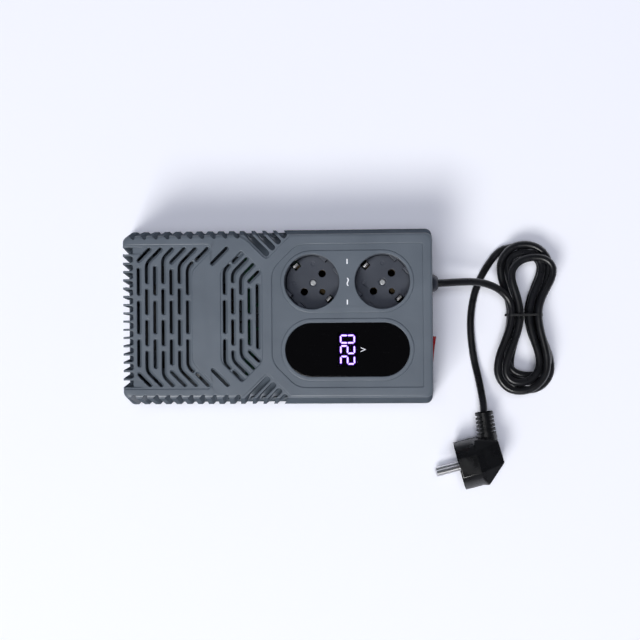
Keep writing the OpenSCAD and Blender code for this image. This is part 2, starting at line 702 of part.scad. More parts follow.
module socket_body() {
    difference() {
        union() {
            rod(0, 0, under_z, top_z0, bowl_r + bowl_t);
            rotate(45) block(-bar.x / 2, bar.x / 2, -bar.y / 2, bar.y / 2, under_z - bar_h, under_z);
        }
        difference() {
            rod(0, 0, bowl_z, top_z0 + over, bowl_r);
            for (a = [45, 225]) rotate(a) for (s = [0, 1]) mirror([0, s, 0])
                block(key_r, bowl_r + over, key_notch / 2, bowl_r, bowl_z - over, bowl_z + key_h);
        }
        for (a = [45, 225]) rotate(a) {
            rod(pin_pitch / 2, 0, under_z - over, bowl_z + over, pin_hole_r);
            rod(pin_pitch / 2, 0, under_z - bar_h - over, under_z, channel_r);
        }
        for (a = [135, 315]) rotate(a)
            block(clip_slot.x, bowl_r + bowl_t / 2, -clip_slot.y / 2, clip_slot.y / 2,
                under_z - over, top_z0 + over);
        rotate(135) block(-bar.y / 2 - over, bar.y / 2 + over, -clip_slot.y / 2, clip_slot.y / 2,
            under_z - tunnel, under_z);
        rod(0, 0, bowl_z - core_head, bowl_z + over, core_hole_r);
        rod(0, 0, bowl_z - core_l - over, bowl_z, core_shaft_r + thread_gap);
        rotate(-45) rod(extra_at, 0, under_z - over, bowl_z + over, extra_r);
        for (a = [90, 180]) rotate(a) rod(dimple_at, 0, bowl_z - gap, bowl_z + over, dimple_r);
    }
}
module socket_body_left() color(DARK) translate(sockets_at[0]) socket_body();
module socket_body_right() color(DARK) translate(sockets_at[1]) socket_body();

module earth_straps() color(STEEL) {
    for (p = sockets_at) translate(p) rotate(135) difference() {
        union() {
            block(-strap_r - strap_t, strap_r + strap_t, -strap_w / 2, strap_w / 2,
                under_z - strap_t - slip, under_z - slip);
            for (a = [0, 180]) rotate(a) {
                block(strap_r, strap_r + strap_t, -strap_w / 2, strap_w / 2,
                    under_z - strap_t - slip, clip_z);
                translate([strap_r, strap_w / 2, clip_z - clip_bulge * 2]) rotate([90, 0, 0])
                    cylinder(r = clip_bulge, h = strap_w);
            }
        }
        rod(0, 0, under_z - tunnel, under_z + over, core_shaft_r + thread_gap);
    }
}

module socket_contacts() color([0.80, 0.65, 0.35]) {
    for (p = sockets_at, a = [45, 225]) translate(p) rotate(a) difference() {
        rod(pin_pitch / 2, 0, under_z - bar_h + slip, under_z - slip, sleeve_r);
        rod(pin_pitch / 2, 0, under_z - bar_h + strap_w / 2, under_z, sleeve_in);
    }
}

module socket_screws() color(STEEL) {
    for (p = sockets_at) translate(p) {
        rod(0, 0, bowl_z - core_head, bowl_z - slip, core_screw_r);
        rod(0, 0, bowl_z - core_l, bowl_z - core_head, core_shaft_r);
    }
}

// Main board and what stands on it. A piece is placed by its middle, as shares of the board.
deck = board_z + board_t;
function on_board(share) = [mix(board_x0, board_x1, share.x), share.y * board_y];
module part_box(p, s) {
    block(p.x - s.x / 2, p.x + s.x / 2, p.y - s.y / 2, p.y + s.y / 2, deck, deck + s.z);
}

module main_board() color([0.05, 0.25, 0.15]) difference() {
    block(board_x0, board_x1, -board_y, board_y, board_z, deck);
    for (p = standoffs_at) rod(p.x, p.y, board_z - over, deck + over, tap_r + slip);
}
module board_screws() color(STEEL) {
    for (p = standoffs_at) {
        rod(p.x, p.y, deck, deck + tap_head.y, tap_head.x);
        rod(p.x, p.y, deck - tap_l, deck, tap_r);
    }
    for (p = posts_at) {
        rod(p.x, p.y, display_z - tap_head.y, display_z, tap_head.x);
        rod(p.x, p.y, display_z, display_z + tap_l - thread_gap, tap_r);
    }
}

relay = [19, 15.5, 15.3];
relay_share = [.156, 0];
relay_pitch = 18.5;
module relays() color(BLACK) {
    for (i = [-2:2]) part_box(on_board(relay_share) + [0, i * relay_pitch], relay);
}

cap_share = [[.336, -.784], [.462, -.784], [.577, -.804]];
cap_size = [[5, 20], [5, 20], [4, 12]];      // radius and height
module capacitors() color([0.08, 0.1, 0.2]) {
    for (i = [0:2]) let (p = on_board(cap_share[i]))
        rod(p.x, p.y, deck, deck + cap_size[i][1], cap_size[i][0]);
}

chip = [9, 26, 3.6];
chip_share = [.574, -.04];
module controller_chip() color(BLACK) part_box(on_board(chip_share), chip);

regulator_size = [4.6, 10, 17];
sink = [9, 25, 22];
sink_share = [.377, -.275];
sink_at = on_board(sink_share);
module regulator() color(BLACK)
    part_box([sink_at.x + (sink.x + regulator_size.x) / 2, sink_at.y], regulator_size);
module heatsink() color([0.15, 0.15, 0.16]) difference() {
    part_box(sink_at, sink);
    for (i = [-2:2])
        block(sink_at.x - sink.x / 2 - over, sink_at.x + sink.x / 6,
            sink_at.y + i * sink.y / 5 - sink.y / 14, sink_at.y + i * sink.y / 5 + sink.y / 14,
            deck - over, deck + sink.z + over);
}

sense = [22, 26, 19];
sense_share = [.766, -.706];
module sense_transformer() color([0.75, 0.65, 0.2]) part_box(on_board(sense_share), sense);

terminal = [10, 26, 11];
terminal_in = 7.2;                     // from the middle of the plates
terminal_at = [plate_x + terminal_in, gland_y];
terminal_top = deck + terminal.z;
module terminal_block() color([0.1, 0.4, 0.2]) difference() {
    part_box(terminal_at, terminal);
    for (i = [-1:1]) rod(terminal_at.x + terminal.x / 4, terminal_at.y + i * terminal.y / 3,
        terminal_top - terminal.x / 4, terminal_top + over, terminal.x / 6);
}

fuse_r = 2.6;
fuse_l = 20;
fuse_in = 22.8;                        // from the middle of the plates
fuse_at = [plate_x + fuse_in, 39.6];
fuse_lift = 2;
clip = [6, 8, 8];
module fuse_clips() color(STEEL) difference() {
    for (s = [-1, 1]) part_box([fuse_at.x + s * (fuse_l - clip.x) / 2, fuse_at.y], clip);
    translate([fuse_at.x, fuse_at.y, deck + fuse_lift + fuse_r]) rotate([0, 90, 0])
        cylinder(r = fuse_r + thread_gap, h = fuse_l + over, center = true);
    block(fuse_at.x - fuse_l, fuse_at.x + fuse_l, fuse_at.y - fuse_r + gap * 2,
        fuse_at.y + fuse_r - gap * 2, deck + fuse_lift + fuse_r, deck + clip.z + over);
}
module glass_fuse() color([0.8, 0.85, 0.85])
    translate([fuse_at.x, fuse_at.y, deck + fuse_lift + fuse_r]) rotate([0, 90, 0])
        cylinder(r = fuse_r, h = fuse_l, center = true);

// Autotransformer: E and I laminations round a bobbin, held down by a strap.
core = [40, 76];                       // stack and width
leg = 25.4;                            // width of the middle leg
core_clear = 6.5;                      // from the strap over the core to the top wall
bracket_t = 1.2;
core_z0 = floor_z;
core_z1 = top_z0 - core_clear - bracket_t;
yoke = leg / 2;
bobbin_t = 1;
bobbin_flange = 1.2;

module transformer_core() color([0.35, 0.36, 0.38]) difference() {
    block(core_x - core.x / 2, core_x + core.x / 2, -core.y / 2, core.y / 2, core_z0, core_z1);
    for (s = [0, 1]) mirror([0, s, 0])
        block(core_x - core.x, core_x + core.x, yoke, core.y / 2 - yoke, core_z0 + yoke, core_z1 - yoke);
}

function frame(w, l, r) = shift(ring(-w / 2, w / 2, l / 2, r), [core_x, 0]);
module transformer_bobbin() color([0.9, 0.88, 0.8]) {
    hole = [core.x + slip * 2, leg + slip * 2];
    difference() {
        union() {
            slab(core_z0 + yoke + slip, core_z1 - yoke - slip)
                polygon(frame(hole.x + bobbin_t * 2, hole.y + bobbin_t * 2, bobbin_t));
            for (z = [core_z0 + yoke + slip, core_z1 - yoke - slip - bobbin_flange])
                slab(z, z + bobbin_flange) polygon(frame(coil.x, coil.y, bobbin_t * 2));
        }
        slab(core_z0, core_z1) polygon(frame(hole.x, hole.y, bobbin_t / 4));
    }
}

winding_in = 1;                        // from the rim of a flange to the winding
module transformer_winding() color([0.7, 0.35, 0.15]) {
    z0 = core_z0 + yoke + slip + bobbin_flange + thread_gap;
    z1 = core_z1 - yoke - slip - bobbin_flange - thread_gap;
    slab(z0, z1) difference() {
        polygon(frame(coil.x - winding_in * 2, coil.y - winding_in, bobbin_t * 3));
        polygon(frame(core.x + (slip + bobbin_t + thread_gap) * 2,
            leg + (slip + bobbin_t + thread_gap) * 2, bobbin_t));
    }
}

bolt_r = 2;
bolt_head = [3.6, 2.4];
bracket_w = 24;
bracket_foot = 10;
bracket_at = [for (s = [-1, 1]) [core_x, s * (core.y / 2 + bracket_t + bracket_foot / 2)]];
module transformer_bracket() color(STEEL) difference() {
    y1 = core.y / 2;
    y2 = y1 + bracket_t;
    y3 = y2 + bracket_foot;
    foot = core_z0 + bracket_t;
    top = core_z1 + bracket_t;
    along_x(core_x - bracket_w / 2, core_x + bracket_w / 2,
        [[-y3, core_z0], [-y1, core_z0], [-y1, core_z1], [y1, core_z1], [y1, core_z0],
            [y3, core_z0], [y3, foot], [y2, foot], [y2, top], [-y2, top], [-y2, foot], [-y3, foot]]);
    for (p = bracket_at) rod(p.x, p.y, core_z0 - over, foot + over, bolt_r + thread_gap);
}
module transformer_screws() color(STEEL) {
    for (p = bracket_at) {
        rod(p.x, p.y, core_z0 + bracket_t, core_z0 + bracket_t + bolt_head.y, bolt_head.x);
        rod(p.x, p.y, foot_h + floor_t / 3, core_z0 + bracket_t, bolt_r);
    }
}

// Switch. The rocker turns about an upright pin.
housing_l = 19;
housing_t = 1.1;
rocker_gap = 1.2;                      // free length at each end of the rocker
rocker_rise = 1.5;                     // height of the rocker's ends over the wall, when level
rocker_dip = 1.3;                      // height of its middle
pivot_in = 6;                          // depth of the pin behind the wall's face
pivot_r = 1.3;
pivot_out = 0.9;                       // length of a pin stub
switch_hollow = [rocker_l / 2 + rocker_gap, rocker_w / 2 + gap];
skirt = 4.5;
tongue = [3, 9.5];

module switch_housing() color(BLACK) difference() {
    union() {
        block(switch_x - flange_t + thread_gap, switch_x, switch_y - flange.x / 2,
            switch_y + flange.x / 2, switch_z - flange.y / 2, switch_z + flange.y / 2);
        block(switch_x - housing_l, switch_x - flange_t / 2, switch_y - switch_body.x / 2,
            switch_y + switch_body.x / 2, switch_z - switch_body.y / 2, switch_z + switch_body.y / 2);
    }
    block(switch_x - housing_l + flange_t * 2, x_hi, switch_y - switch_hollow.x,
        switch_y + switch_hollow.x, switch_z - switch_hollow.y, switch_z + switch_hollow.y);
    rod(switch_x - pivot_in, switch_y, switch_z - rocker_w / 2 - pivot_out - slip,
        switch_z + rocker_w / 2 + pivot_out + slip, pivot_r + thread_gap);
}

module switch_rocker() color([0.65, 0.02, 0.02]) {
    h = rocker_l / 2;
    translate([switch_x - pivot_in, switch_y, switch_z]) rotate(-rocker_tilt) {
        translate([pivot_in, 0, -rocker_w / 2]) linear_extrude(rocker_w) polygon(
            [[rocker_rise, h], [rocker_dip, h / 6], [rocker_dip, -h / 6], [rocker_rise, -h],
                [-skirt, -h], [-skirt, -tongue.x], [-tongue.y, -tongue.x], [-tongue.y, tongue.x],
                [-skirt, tongue.x], [-skirt, h]]);
        rod(0, 0, -rocker_w / 2 - pivot_out, rocker_w / 2 + pivot_out, pivot_r);
    }
}

tab = [8, 4.8, 0.8];
tab_pitch = 7;
module switch_terminals() color(STEEL) {
    for (i = [-1:1])
        block(switch_x - housing_l - tab.x, switch_x - housing_l,
            switch_y + i * tab_pitch - tab.y / 2, switch_y + i * tab_pitch + tab.y / 2,
            switch_z - tab.z / 2, switch_z + tab.z / 2);
}

// Gland: a dome outside the wall, a neck through it and a collar inside.
gland_out = 4.6;
gland_seat = 0.2;
gland_tip_r = 3.7;
dome_n = 4;
collar_l = 2;
module cord_gland() color(DARK) translate([0, gland_y, gland_z]) rotate([0, 90, 0]) rotate_extrude() {
    r = gland_d / 2;
    x0 = gland_x + gland_seat;
    x1 = gland_x + gland_out;
    w0 = gland_x - wall - gland_seat;
    polygon(concat([[0, w0 - collar_l], [neck_r + wall / 2, w0 - collar_l], [neck_r + wall / 2, w0],
        [neck_r, w0], [neck_r, x0]],
        [for (k = [0:dome_n]) let (a = 90 * k / dome_n)
            [mix(gland_tip_r, r, cos(a)), mix(x0 + gland_seat * 4, x1, sin(a))]], [[0, x1]]));
}

// Sheath of the cord inside the case, and the clamp that holds it on the tray's pillar.
sheath_x0 = pillar_x - 2;
sheath_x1 = gland_x - wall - gland_seat - collar_l;
module cord_sheath() color(BLACK) translate([sheath_x0, gland_y, gland_z]) rotate([0, 90, 0])
    cylinder(r = cord_d / 2, h = sheath_x1 - sheath_x0);

clamp_t = 5.4;
clamp_l = 12;
clamp_lift = 0.3;
clamp_at = [for (s = [-1, 1])
    [pillar_x + pillar.x / 2, gland_y + s * (pillar.y / 2 - shaft_r * 2)]];
module cord_clamp() color(BLACK) difference() {
    block(pillar_x, pillar_x + pillar.x, gland_y - pillar.y / 2, gland_y + pillar.y / 2,
        gland_z + clamp_lift, gland_z + clamp_t);
    translate([pillar_x - over, gland_y, gland_z]) rotate([0, 90, 0])
        cylinder(r = cord_d / 2 + thread_gap, h = pillar.x + over * 2);
    for (p = clamp_at) rod(p.x, p.y, gland_z, gland_z + clamp_t + over, shaft_r + thread_gap);
}
module clamp_screws() color(STEEL) {
    for (p = clamp_at) {
        rod(p.x, p.y, gland_z + clamp_t, gland_z + clamp_t + head_h, head_r - gap * 2);
        rod(p.x, p.y, gland_z - clamp_l + over, gland_z + clamp_t, shaft_r);
    }
}

// Wires inside the case
wire_d = 1.6;
wire_n = 8;
bend = 3;                              // length over which a wire turns down
// Wire from p along X to x, and straight down there to the height z.
function drop(p, x, z) = let (s = sign(x - p.x))
    [p, [x - s * bend, p.y, p.z], [x - s * bend * .3, p.y, p.z - bend * .3], [x, p.y, p.z - bend],
        [x, p.y, z]];
wire_colors = [[0.4, 0.2, 0.1], [0.2, 0.5, 0.2], [0.1, 0.2, 0.6]];

// Each wire runs down behind the clamp and into the side of the terminal block.
module cord_wires() {
    entry = [terminal_at.x + terminal.x / 2 + slip, deck + terminal.z / 2];
    x = sheath_x0 - bend * 2;
    for (i = [-1:1]) color(wire_colors[i + 1]) let (y = gland_y + i * (wire_d + slip))
        tube(concat(drop([sheath_x0, y, gland_z], x, entry.y + bend),
            [[x - bend * .3, y, entry.y + bend * .3], [x - bend, y, entry.y],
                [entry.x, y, entry.y]]), wire_d, wire_n, [0, 1, 0]);
}
module switch_wires() color([0.4, 0.2, 0.1]) {
    for (i = [0, 1]) let (x = switch_x - housing_l - tab.x)
        tube(drop([x, switch_y + i * tab_pitch, switch_z], x - bend * 2, deck),
            wire_d, wire_n, [0, 1, 0]);
}
module socket_wires() color([0.1, 0.2, 0.6]) {
    for (p = sockets_at, a = [45, 225]) translate(p) rotate(a)
        rod(pin_pitch / 2, 0, deck, under_z - bar_h + slip, wire_d / 2);
}
lead_pitch = 8;
lead_n = 4;
lead_in = 2;                           // from the board's edge
module transformer_leads() color(BLACK) {
    for (i = [0:lead_n - 1])
        tube(drop([core_x + coil.x / 2 - winding_in, (i - (lead_n - 1) / 2) * lead_pitch,
            core_z1 - yoke - bend * 2], board_x0 + lead_in, deck), wire_d, wire_n, [0, 1, 0]);
}

// Cord outside the case
cord_n = 10;
lead_route = [[124.8, 24.4, 40], [127, 24.4, 40], [131, 24.6, 39.4], [137, 25.1, 37.9],
    [143, 25.4, 36], [149.5, 25.6, 33.5], [156, 25.2, 31], [161.4, 24.2, 28.8], [166.4, 22.5, 27],
    [171, 20.2, 25.4], [175, 17.3, 24.2], [178.2, 13.9, 23.2], [180.4, 10.3, 22.8]];
tail_route = [[173, 49.2, 3.6], [169, 45, 3.4], [164.2, 38, 3.1], [158.8, 28.6, 3.1],
    [154.5, 17.5, 3.1], [151.9, 4.5, 3.1], [151.1, -8, 3.1], [152.1, -23, 3.1], [154.2, -37, 3.6],
    [156.4, -47, 6], [158.2, -57, 10.2], [159.5, -66, 14.3], [160.1, -71.5, 16.4]];

// Hank: one tube wound in four layers, each a spiral of one and a half loops that is drawn in at
// the waist. t counts degrees of winding, from the tail's end on the lowest layer.
hank_x = 193.5;
hank_z = 3.8;
hank_half = 47;                        // half the length of the innermost loop
waist = 1.7;                           // half the width of that loop at its waist
belly = 27;                            // how far its two ends swell
loop_step = 6.7;                       // how far each loop lies outside the one before
layer_step = 6.3;
hank_sides = 6;
loop_rings = 24;
hank_layers = 4;
hank_start = 105;                      // where on the loop the tail comes in
lowest_turn = 465;                     // degrees of winding in the lowest layer
layer_turn = 540;                      // degrees of winding in every other layer
climb = 90;                            // the tube climbs this far before and after a layer's end
hank_end = lowest_turn + layer_turn * (hank_layers - 1);

function loop_x(a) = cos(a) * (waist + belly * pow(sin(a), 2));
function loop_y(a) = hank_half * sin(a);
function loop_dir(a) = unit([loop_x(a + 1) - loop_x(a - 1), loop_y(a + 1) - loop_y(a - 1)]);
// Degrees to the nearest place where the spiral is at its innermost.
function fold_at(t) = abs((t - lowest_turn + layer_turn) % (2 * layer_turn) - layer_turn);
function add(list, i = 0) = i < len(list) ? list[i] + add(list, i + 1) : 0;
function layer_at(t) = add([for (k = [0:hank_layers - 2])
    max(0, min(1, (t - lowest_turn - k * layer_turn + climb) / climb / 2))]);
function hank_point(t) = let (a = hank_start - t, d = loop_dir(a), o = loop_step * fold_at(t) / 360)
    [hank_x + loop_x(a) + d.y * o, loop_y(a) - d.x * o, hank_z + layer_step * layer_at(t)];
hank_step = 360 / loop_rings;
hank_mid = [for (t = [0:hank_step:hank_end]) hank_point(t)];
hank_last = len(hank_mid) - 1;
hank_in = hank_mid[0] - unit(hank_mid[1] - hank_mid[0]) * cord_d;
hank_out = hank_mid[hank_last] + [0, cord_d, 0];
hank_path = concat([hank_in], hank_mid, [hank_out]);

// Least gap of the hank to itself, measured between points at least half a loop apart.
fine = [for (i = [0:hank_last - 1], s = [0, 1 / 3, 2 / 3]) mix(hank_mid[i], hank_mid[i + 1], s)];
apart = loop_rings * 3 / 2;
echo(hank_gap = min([for (i = [0:len(fine) - 1 - apart])
    min([for (j = [i + apart:len(fine) - 1]) norm(fine[i] - fine[j])])]) - cord_d);
echo(hank_length = add([for (i = [0:hank_last - 1]) norm(hank_mid[i + 1] - hank_mid[i])]));

// Two points that end a tube square, a slip clear of the face at p that looks along v.
function square_end(p, v) = [p + v * slip * 4, p + v * slip];
function back(list) = [for (i = [len(list) - 1:-1:0]) list[i]];
module cord_lead() color(BLACK)
    tube(concat(lead_route, square_end(hank_out, [0, 1, 0])), cord_d, cord_n);
module cord_hank() color(BLACK) tube(hank_path, cord_d, hank_sides);
module cord_tail() color(BLACK)
    tube(concat(back(square_end(hank_in, unit(hank_mid[0] - hank_mid[1]))), tail_route,
        square_end(relief_tip, plug_way(relief_dir))), cord_d, cord_n);

// Tie: a thin band round the waist.
tie_t = 0.5;
tie_w = 1.8;
tie_r = 4;
tie_x0 = hank_x - waist - loop_step * 1.5 - cord_d / 2 - gap;
tie_x1 = hank_x + waist + loop_step + cord_d / 2 + gap;
tie_z1 = hank_z + layer_step * (hank_layers - 1) + cord_d / 2 + gap;
module cord_tie() color(BLACK) {
    half = (tie_z1 - tie_t) / 2;
    translate([0, tie_w / 2, half + tie_t]) rotate([90, 0, 0]) linear_extrude(tie_w) difference() {
        polygon(ring(tie_x0 - tie_t, tie_x1 + tie_t, half + tie_t, tie_r));
        polygon(ring(tie_x0, tie_x1, half, tie_r - tie_t));
    }
}

// Plug, lying on one of its flats. Its own X runs from the face into the body, its Y to the cord.
plug_at = [141, -117.1, plug_flat];
plug_turn = 14.6;
disc_l = 15;
back_z = 11;                           // half the thickness of the plug's back
back_share = [[.44, .94], [.89, .65], [.90, -.26], [.49, -.99]];
plug_depth = 37.4;                     // with plug_r, the lengths that the back's outline follows
relief_at = [26.2, 13];
relief_tilt = 7;
relief_l = 23;
relief_r = [7.6, 6.9];
ribs = 5;
rib_pitch = 3.1;
rib_depth = 1.3;
spine = 2.2;
strip_w = 4.6;
strip_l = 14;
function plug_point(p) = let (c = cos(plug_turn), s = sin(plug_turn))
    plug_at + [p.x * c - p.y * s, p.x * s + p.y * c, 0];
function plug_way(v) = let (c = cos(plug_turn), s = sin(plug_turn))
    [v.x * c - v.y * s, v.x * s + v.y * c, 0];
relief_dir = [sin(relief_tilt), cos(relief_tilt)];
relief_tip = plug_point(relief_at + relief_dir * relief_l);

module in_plug() translate(plug_at) rotate(plug_turn) children();

// The plug's round part, cut off at its two flats, from x to its back.
module disc(x) {
    intersection() {
        translate([x, 0, 0]) rotate([0, 90, 0]) cylinder(r = plug_r, h = disc_l - x);
        block(x - over, disc_l + over, -plug_r, plug_r, -plug_flat, plug_flat);
    }
}

module plug_body() color(BLACK) in_plug() difference() {
    union() {
        disc(0);
        hull() {
            disc(disc_l - over);
            slab(-back_z, back_z) polygon([for (p = back_share) [p.x * plug_depth, p.y * plug_r]]);
            slab(-relief_r[0], relief_r[0]) translate(relief_at) circle(relief_r[0] / 2);
        }
        translate([relief_at.x, relief_at.y, 0]) rotate([-90, 0, -relief_tilt]) {
            difference() {
                cylinder(r1 = relief_r[0], r2 = relief_r[1], h = relief_l);
                for (i = [1:ribs]) translate([0, 0, relief_l - i * rib_pitch - rib_pitch / 4])
                    difference() {
                        cylinder(r = relief_r[0] + over, h = rib_pitch / 2);
                        translate([0, 0, -over])
                            cylinder(r = relief_r[1] - rib_depth, h = rib_pitch + over * 2);
                        block(-spine, spine, -relief_r[0] - over, relief_r[0] + over, -over, rib_pitch);
                    }
            }
        }
    }
    for (s = [0, 1]) mirror([0, s, 0])
        block(-over, strip_l + gap, plug_r - strap_t - gap * 2, plug_r + over,
            -strip_w / 2 - slip, strip_w / 2 + slip);
}

pin_tip = 0.8;
module plug_pins() color(STEEL) in_plug() {
    for (s = [-1, 1]) translate([0, 0, s * pin_pitch / 2]) rotate([0, -90, 0]) {
        cylinder(r = pin_r, h = pin_l - pin_tip);
        translate([0, 0, pin_l - pin_tip]) cylinder(r1 = pin_r, r2 = pin_r - pin_tip, h = pin_tip);
    }
}

module plug_earth_strips() color(STEEL) in_plug() {
    for (s = [0, 1]) mirror([0, s, 0])
        block(0, strip_l, plug_r - strap_t - gap * 2, plug_r - gap * 2, -strip_w / 2, strip_w / 2);
}

top_cover();
base_tray();
rubber_feet();
case_screws();
display_window();
display_board();
digit_module();
lit_digits();
socket_body_left();
socket_body_right();
earth_straps();
socket_contacts();
socket_screws();
main_board();
board_screws();
relays();
capacitors();
controller_chip();
regulator();
heatsink();
sense_transformer();
terminal_block();
fuse_clips();
glass_fuse();
transformer_core();
transformer_bobbin();
transformer_winding();
transformer_bracket();
transformer_screws();
switch_housing();
switch_rocker();
switch_terminals();
cord_gland();
cord_sheath();
cord_clamp();
clamp_screws();
cord_wires();
switch_wires();
socket_wires();
transformer_leads();
cord_lead();
cord_hank();
cord_tail();
cord_tie();
plug_body();
plug_pins();
plug_earth_strips();
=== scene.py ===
# Looks of a desktop voltage stabilizer: moulded grey case, black window with lit digits, two grounded
# sockets, a red rocker and a black cord in a tied hank. Everything stands in metres, in the frame of the
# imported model. Lengths written here in millimetres are multiplied by MM.
import math

import bmesh
import bpy
from mathutils import Euler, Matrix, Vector


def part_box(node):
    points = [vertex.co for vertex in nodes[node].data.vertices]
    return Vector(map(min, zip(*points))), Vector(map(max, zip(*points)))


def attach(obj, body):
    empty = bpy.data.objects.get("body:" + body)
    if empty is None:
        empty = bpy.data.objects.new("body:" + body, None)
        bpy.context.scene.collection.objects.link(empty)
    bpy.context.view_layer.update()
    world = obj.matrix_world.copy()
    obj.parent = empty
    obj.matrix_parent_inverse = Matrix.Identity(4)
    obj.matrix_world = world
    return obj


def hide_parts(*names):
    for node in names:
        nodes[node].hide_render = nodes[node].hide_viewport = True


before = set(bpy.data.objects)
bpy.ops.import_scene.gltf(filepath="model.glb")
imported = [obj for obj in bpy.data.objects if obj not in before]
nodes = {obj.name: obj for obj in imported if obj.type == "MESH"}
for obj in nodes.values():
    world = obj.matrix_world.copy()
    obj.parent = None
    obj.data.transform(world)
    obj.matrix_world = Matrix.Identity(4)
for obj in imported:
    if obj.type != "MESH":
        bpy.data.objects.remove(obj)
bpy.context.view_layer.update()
CASE = "case"
ROCKER = "rocker"
MM = 0.001
SAME = 2e-5  # heights in a CAD mesh that differ by less are one height

window_low, window_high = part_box("display_window")
WINDOW = (window_low + window_high) / 2


# Camera: straight above, a little to the right of the case, as the photograph was taken. Its place, turn
# and lens were fitted to the corners of the case.

camera = bpy.data.objects.new("camera", bpy.data.cameras.new("camera"))
bpy.context.collection.objects.link(camera)
camera.location = (0.0878, -0.0085, 0.9502)
camera.rotation_euler = Euler([math.radians(a) for a in (0.33, 3.35, -0.45)], "XYZ")
camera.data.sensor_width = 36
camera.data.lens = 67.13
camera.data.clip_start = 0.01
camera.data.clip_end = 20
bpy.context.scene.camera = camera
bpy.context.scene.view_settings.view_transform = "Standard"


# Mesh helpers


def deselect():
    """Leaves edit mode with nothing selected."""
    if bpy.context.object and bpy.context.object.mode != "OBJECT":
        bpy.ops.object.mode_set(mode="OBJECT")
    bpy.ops.object.select_all(action="DESELECT")


def take(piece):
    """Selects one piece alone and makes it active."""
    deselect()
    piece.select_set(True)
    bpy.context.view_layer.objects.active = piece
    return piece


def settle(piece):
    """Puts the piece's place into its mesh, so that its object sits at the origin."""
    take(piece)
    bpy.ops.object.transform_apply(location=True, rotation=True, scale=True)
    return piece


def select_edges(piece, wanted):
    """Selects, in edit mode, the edges for which wanted(edge) is true."""
    bpy.ops.mesh.select_mode(type="EDGE")
    bpy.ops.mesh.select_all(action="DESELECT")
    mesh = bmesh.from_edit_mesh(piece.data)
    for edge in mesh.edges:
        edge.select = len(edge.link_faces) == 2 and wanted(edge)
    mesh.select_flush_mode()
    bmesh.update_edit_mesh(piece.data)


def select_faces(piece, wanted):
    """Selects, in edit mode, the faces for which wanted(face) is true."""
    bpy.ops.mesh.select_mode(type="FACE")
    bpy.ops.mesh.select_all(action="DESELECT")
    mesh = bmesh.from_edit_mesh(piece.data)
    for face in mesh.faces:
        face.select = wanted(face)
    mesh.select_flush_mode()
    bmesh.update_edit_mesh(piece.data)


def sharp(edge, degrees):
    """True for an outward edge that turns by more than this angle."""
    return edge.calc_face_angle_signed(0) > math.radians(degrees)


def copy_in_edit_mode(node, name, flat):
    """A copy of a CAD solid, left in edit mode. Its loose triangles are merged into faces wherever they
    meet at less than flat degrees."""
    piece = bpy.data.objects.new(name, nodes[node].data.copy())
    bpy.context.collection.objects.link(piece)
    take(piece)
    bpy.ops.mesh.customdata_custom_splitnormals_clear()
    bpy.ops.object.mode_set(mode="EDIT")
    bpy.ops.mesh.select_all(action="SELECT")
    bpy.ops.mesh.remove_doubles(threshold=2e-6)
    bpy.ops.mesh.dissolve_limited(angle_limit=math.radians(flat))
    return piece


def merged_copy(name, body=CASE):
    """A clean copy of a CAD solid, which stands for its node. Faces with many corners go back to
    triangles, because a bevel can fold them over."""
    piece = copy_in_edit_mode(name, name + "_finished", 0.5)
    bpy.ops.mesh.select_face_by_sides(number=4, type="GREATER")
    bpy.ops.mesh.quads_convert_to_tris(ngon_method="BEAUTY")
    bpy.ops.object.mode_set(mode="OBJECT")
    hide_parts(name)
    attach(piece, body)
    return piece


def round_edges(piece, wanted, width, steps):
    """Rounds the wanted edges over a width in millimetres, in this many steps."""
    take(piece)
    bpy.ops.object.mode_set(mode="EDIT")
    select_edges(piece, wanted)
    bpy.ops.mesh.bevel(offset=width * MM, segments=steps, profile=0.5, clamp_overlap=False)
    bpy.ops.object.mode_set(mode="OBJECT")


def smooth(piece, degrees=35):
    """Smooth shading in which the large faces stay flat and only the roundings bend."""
    take(piece)
    bpy.ops.object.shade_smooth_by_angle(angle=math.radians(degrees))
    bpy.ops.object.modifier_add(type="WEIGHTED_NORMAL")
    piece.modifiers[-1].keep_sharp = True
    piece.modifiers[-1].weight = 92
    bpy.ops.object.modifier_apply(modifier=piece.modifiers[-1].name)
    return piece


def finish(piece, material, body=CASE):
    """Gives a new piece its material and its body."""
    piece.data.materials.clear()
    piece.data.materials.append(material)
    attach(piece, body)
    return piece


def dress(name, material):
    """Gives a CAD node that stays as it is a better material."""
    for slot in nodes[name].material_slots:
        slot.material = material


# Material helpers


def colour(code):
    """sRGB hex to linear, opaque."""
    parts = [int(code[i : i + 2], 16) / 255 for i in (1, 3, 5)]
    return [c / 12.92 if c <= 0.04045 else ((c + 0.055) / 1.055) ** 2.4 for c in parts] + [1.0]


def add(tree, kind, links=(), **settings):
    """Adds a shader node. A setting is one of its inputs, by name with _ for a space, or an attribute."""
    made = tree.nodes.new(kind)
    for key, value in settings.items():
        socket = made.inputs.get(key.replace("_", " "))
        if socket is None:
            setattr(made, key, value)
        else:
            socket.default_value = value
    for name, source in links:
        tree.links.new(source, made.inputs[name])
    return made


def new_material(name):
    """A material with its node tree, its shader and the Object coordinates that its patterns lie on."""
    material = bpy.data.materials.new(name)
    material.use_nodes = True
    tree = material.node_tree
    shader = tree.nodes["Principled BSDF"]
    place = add(tree, "ShaderNodeTexCoord").outputs["Object"]
    return material, tree, shader, place


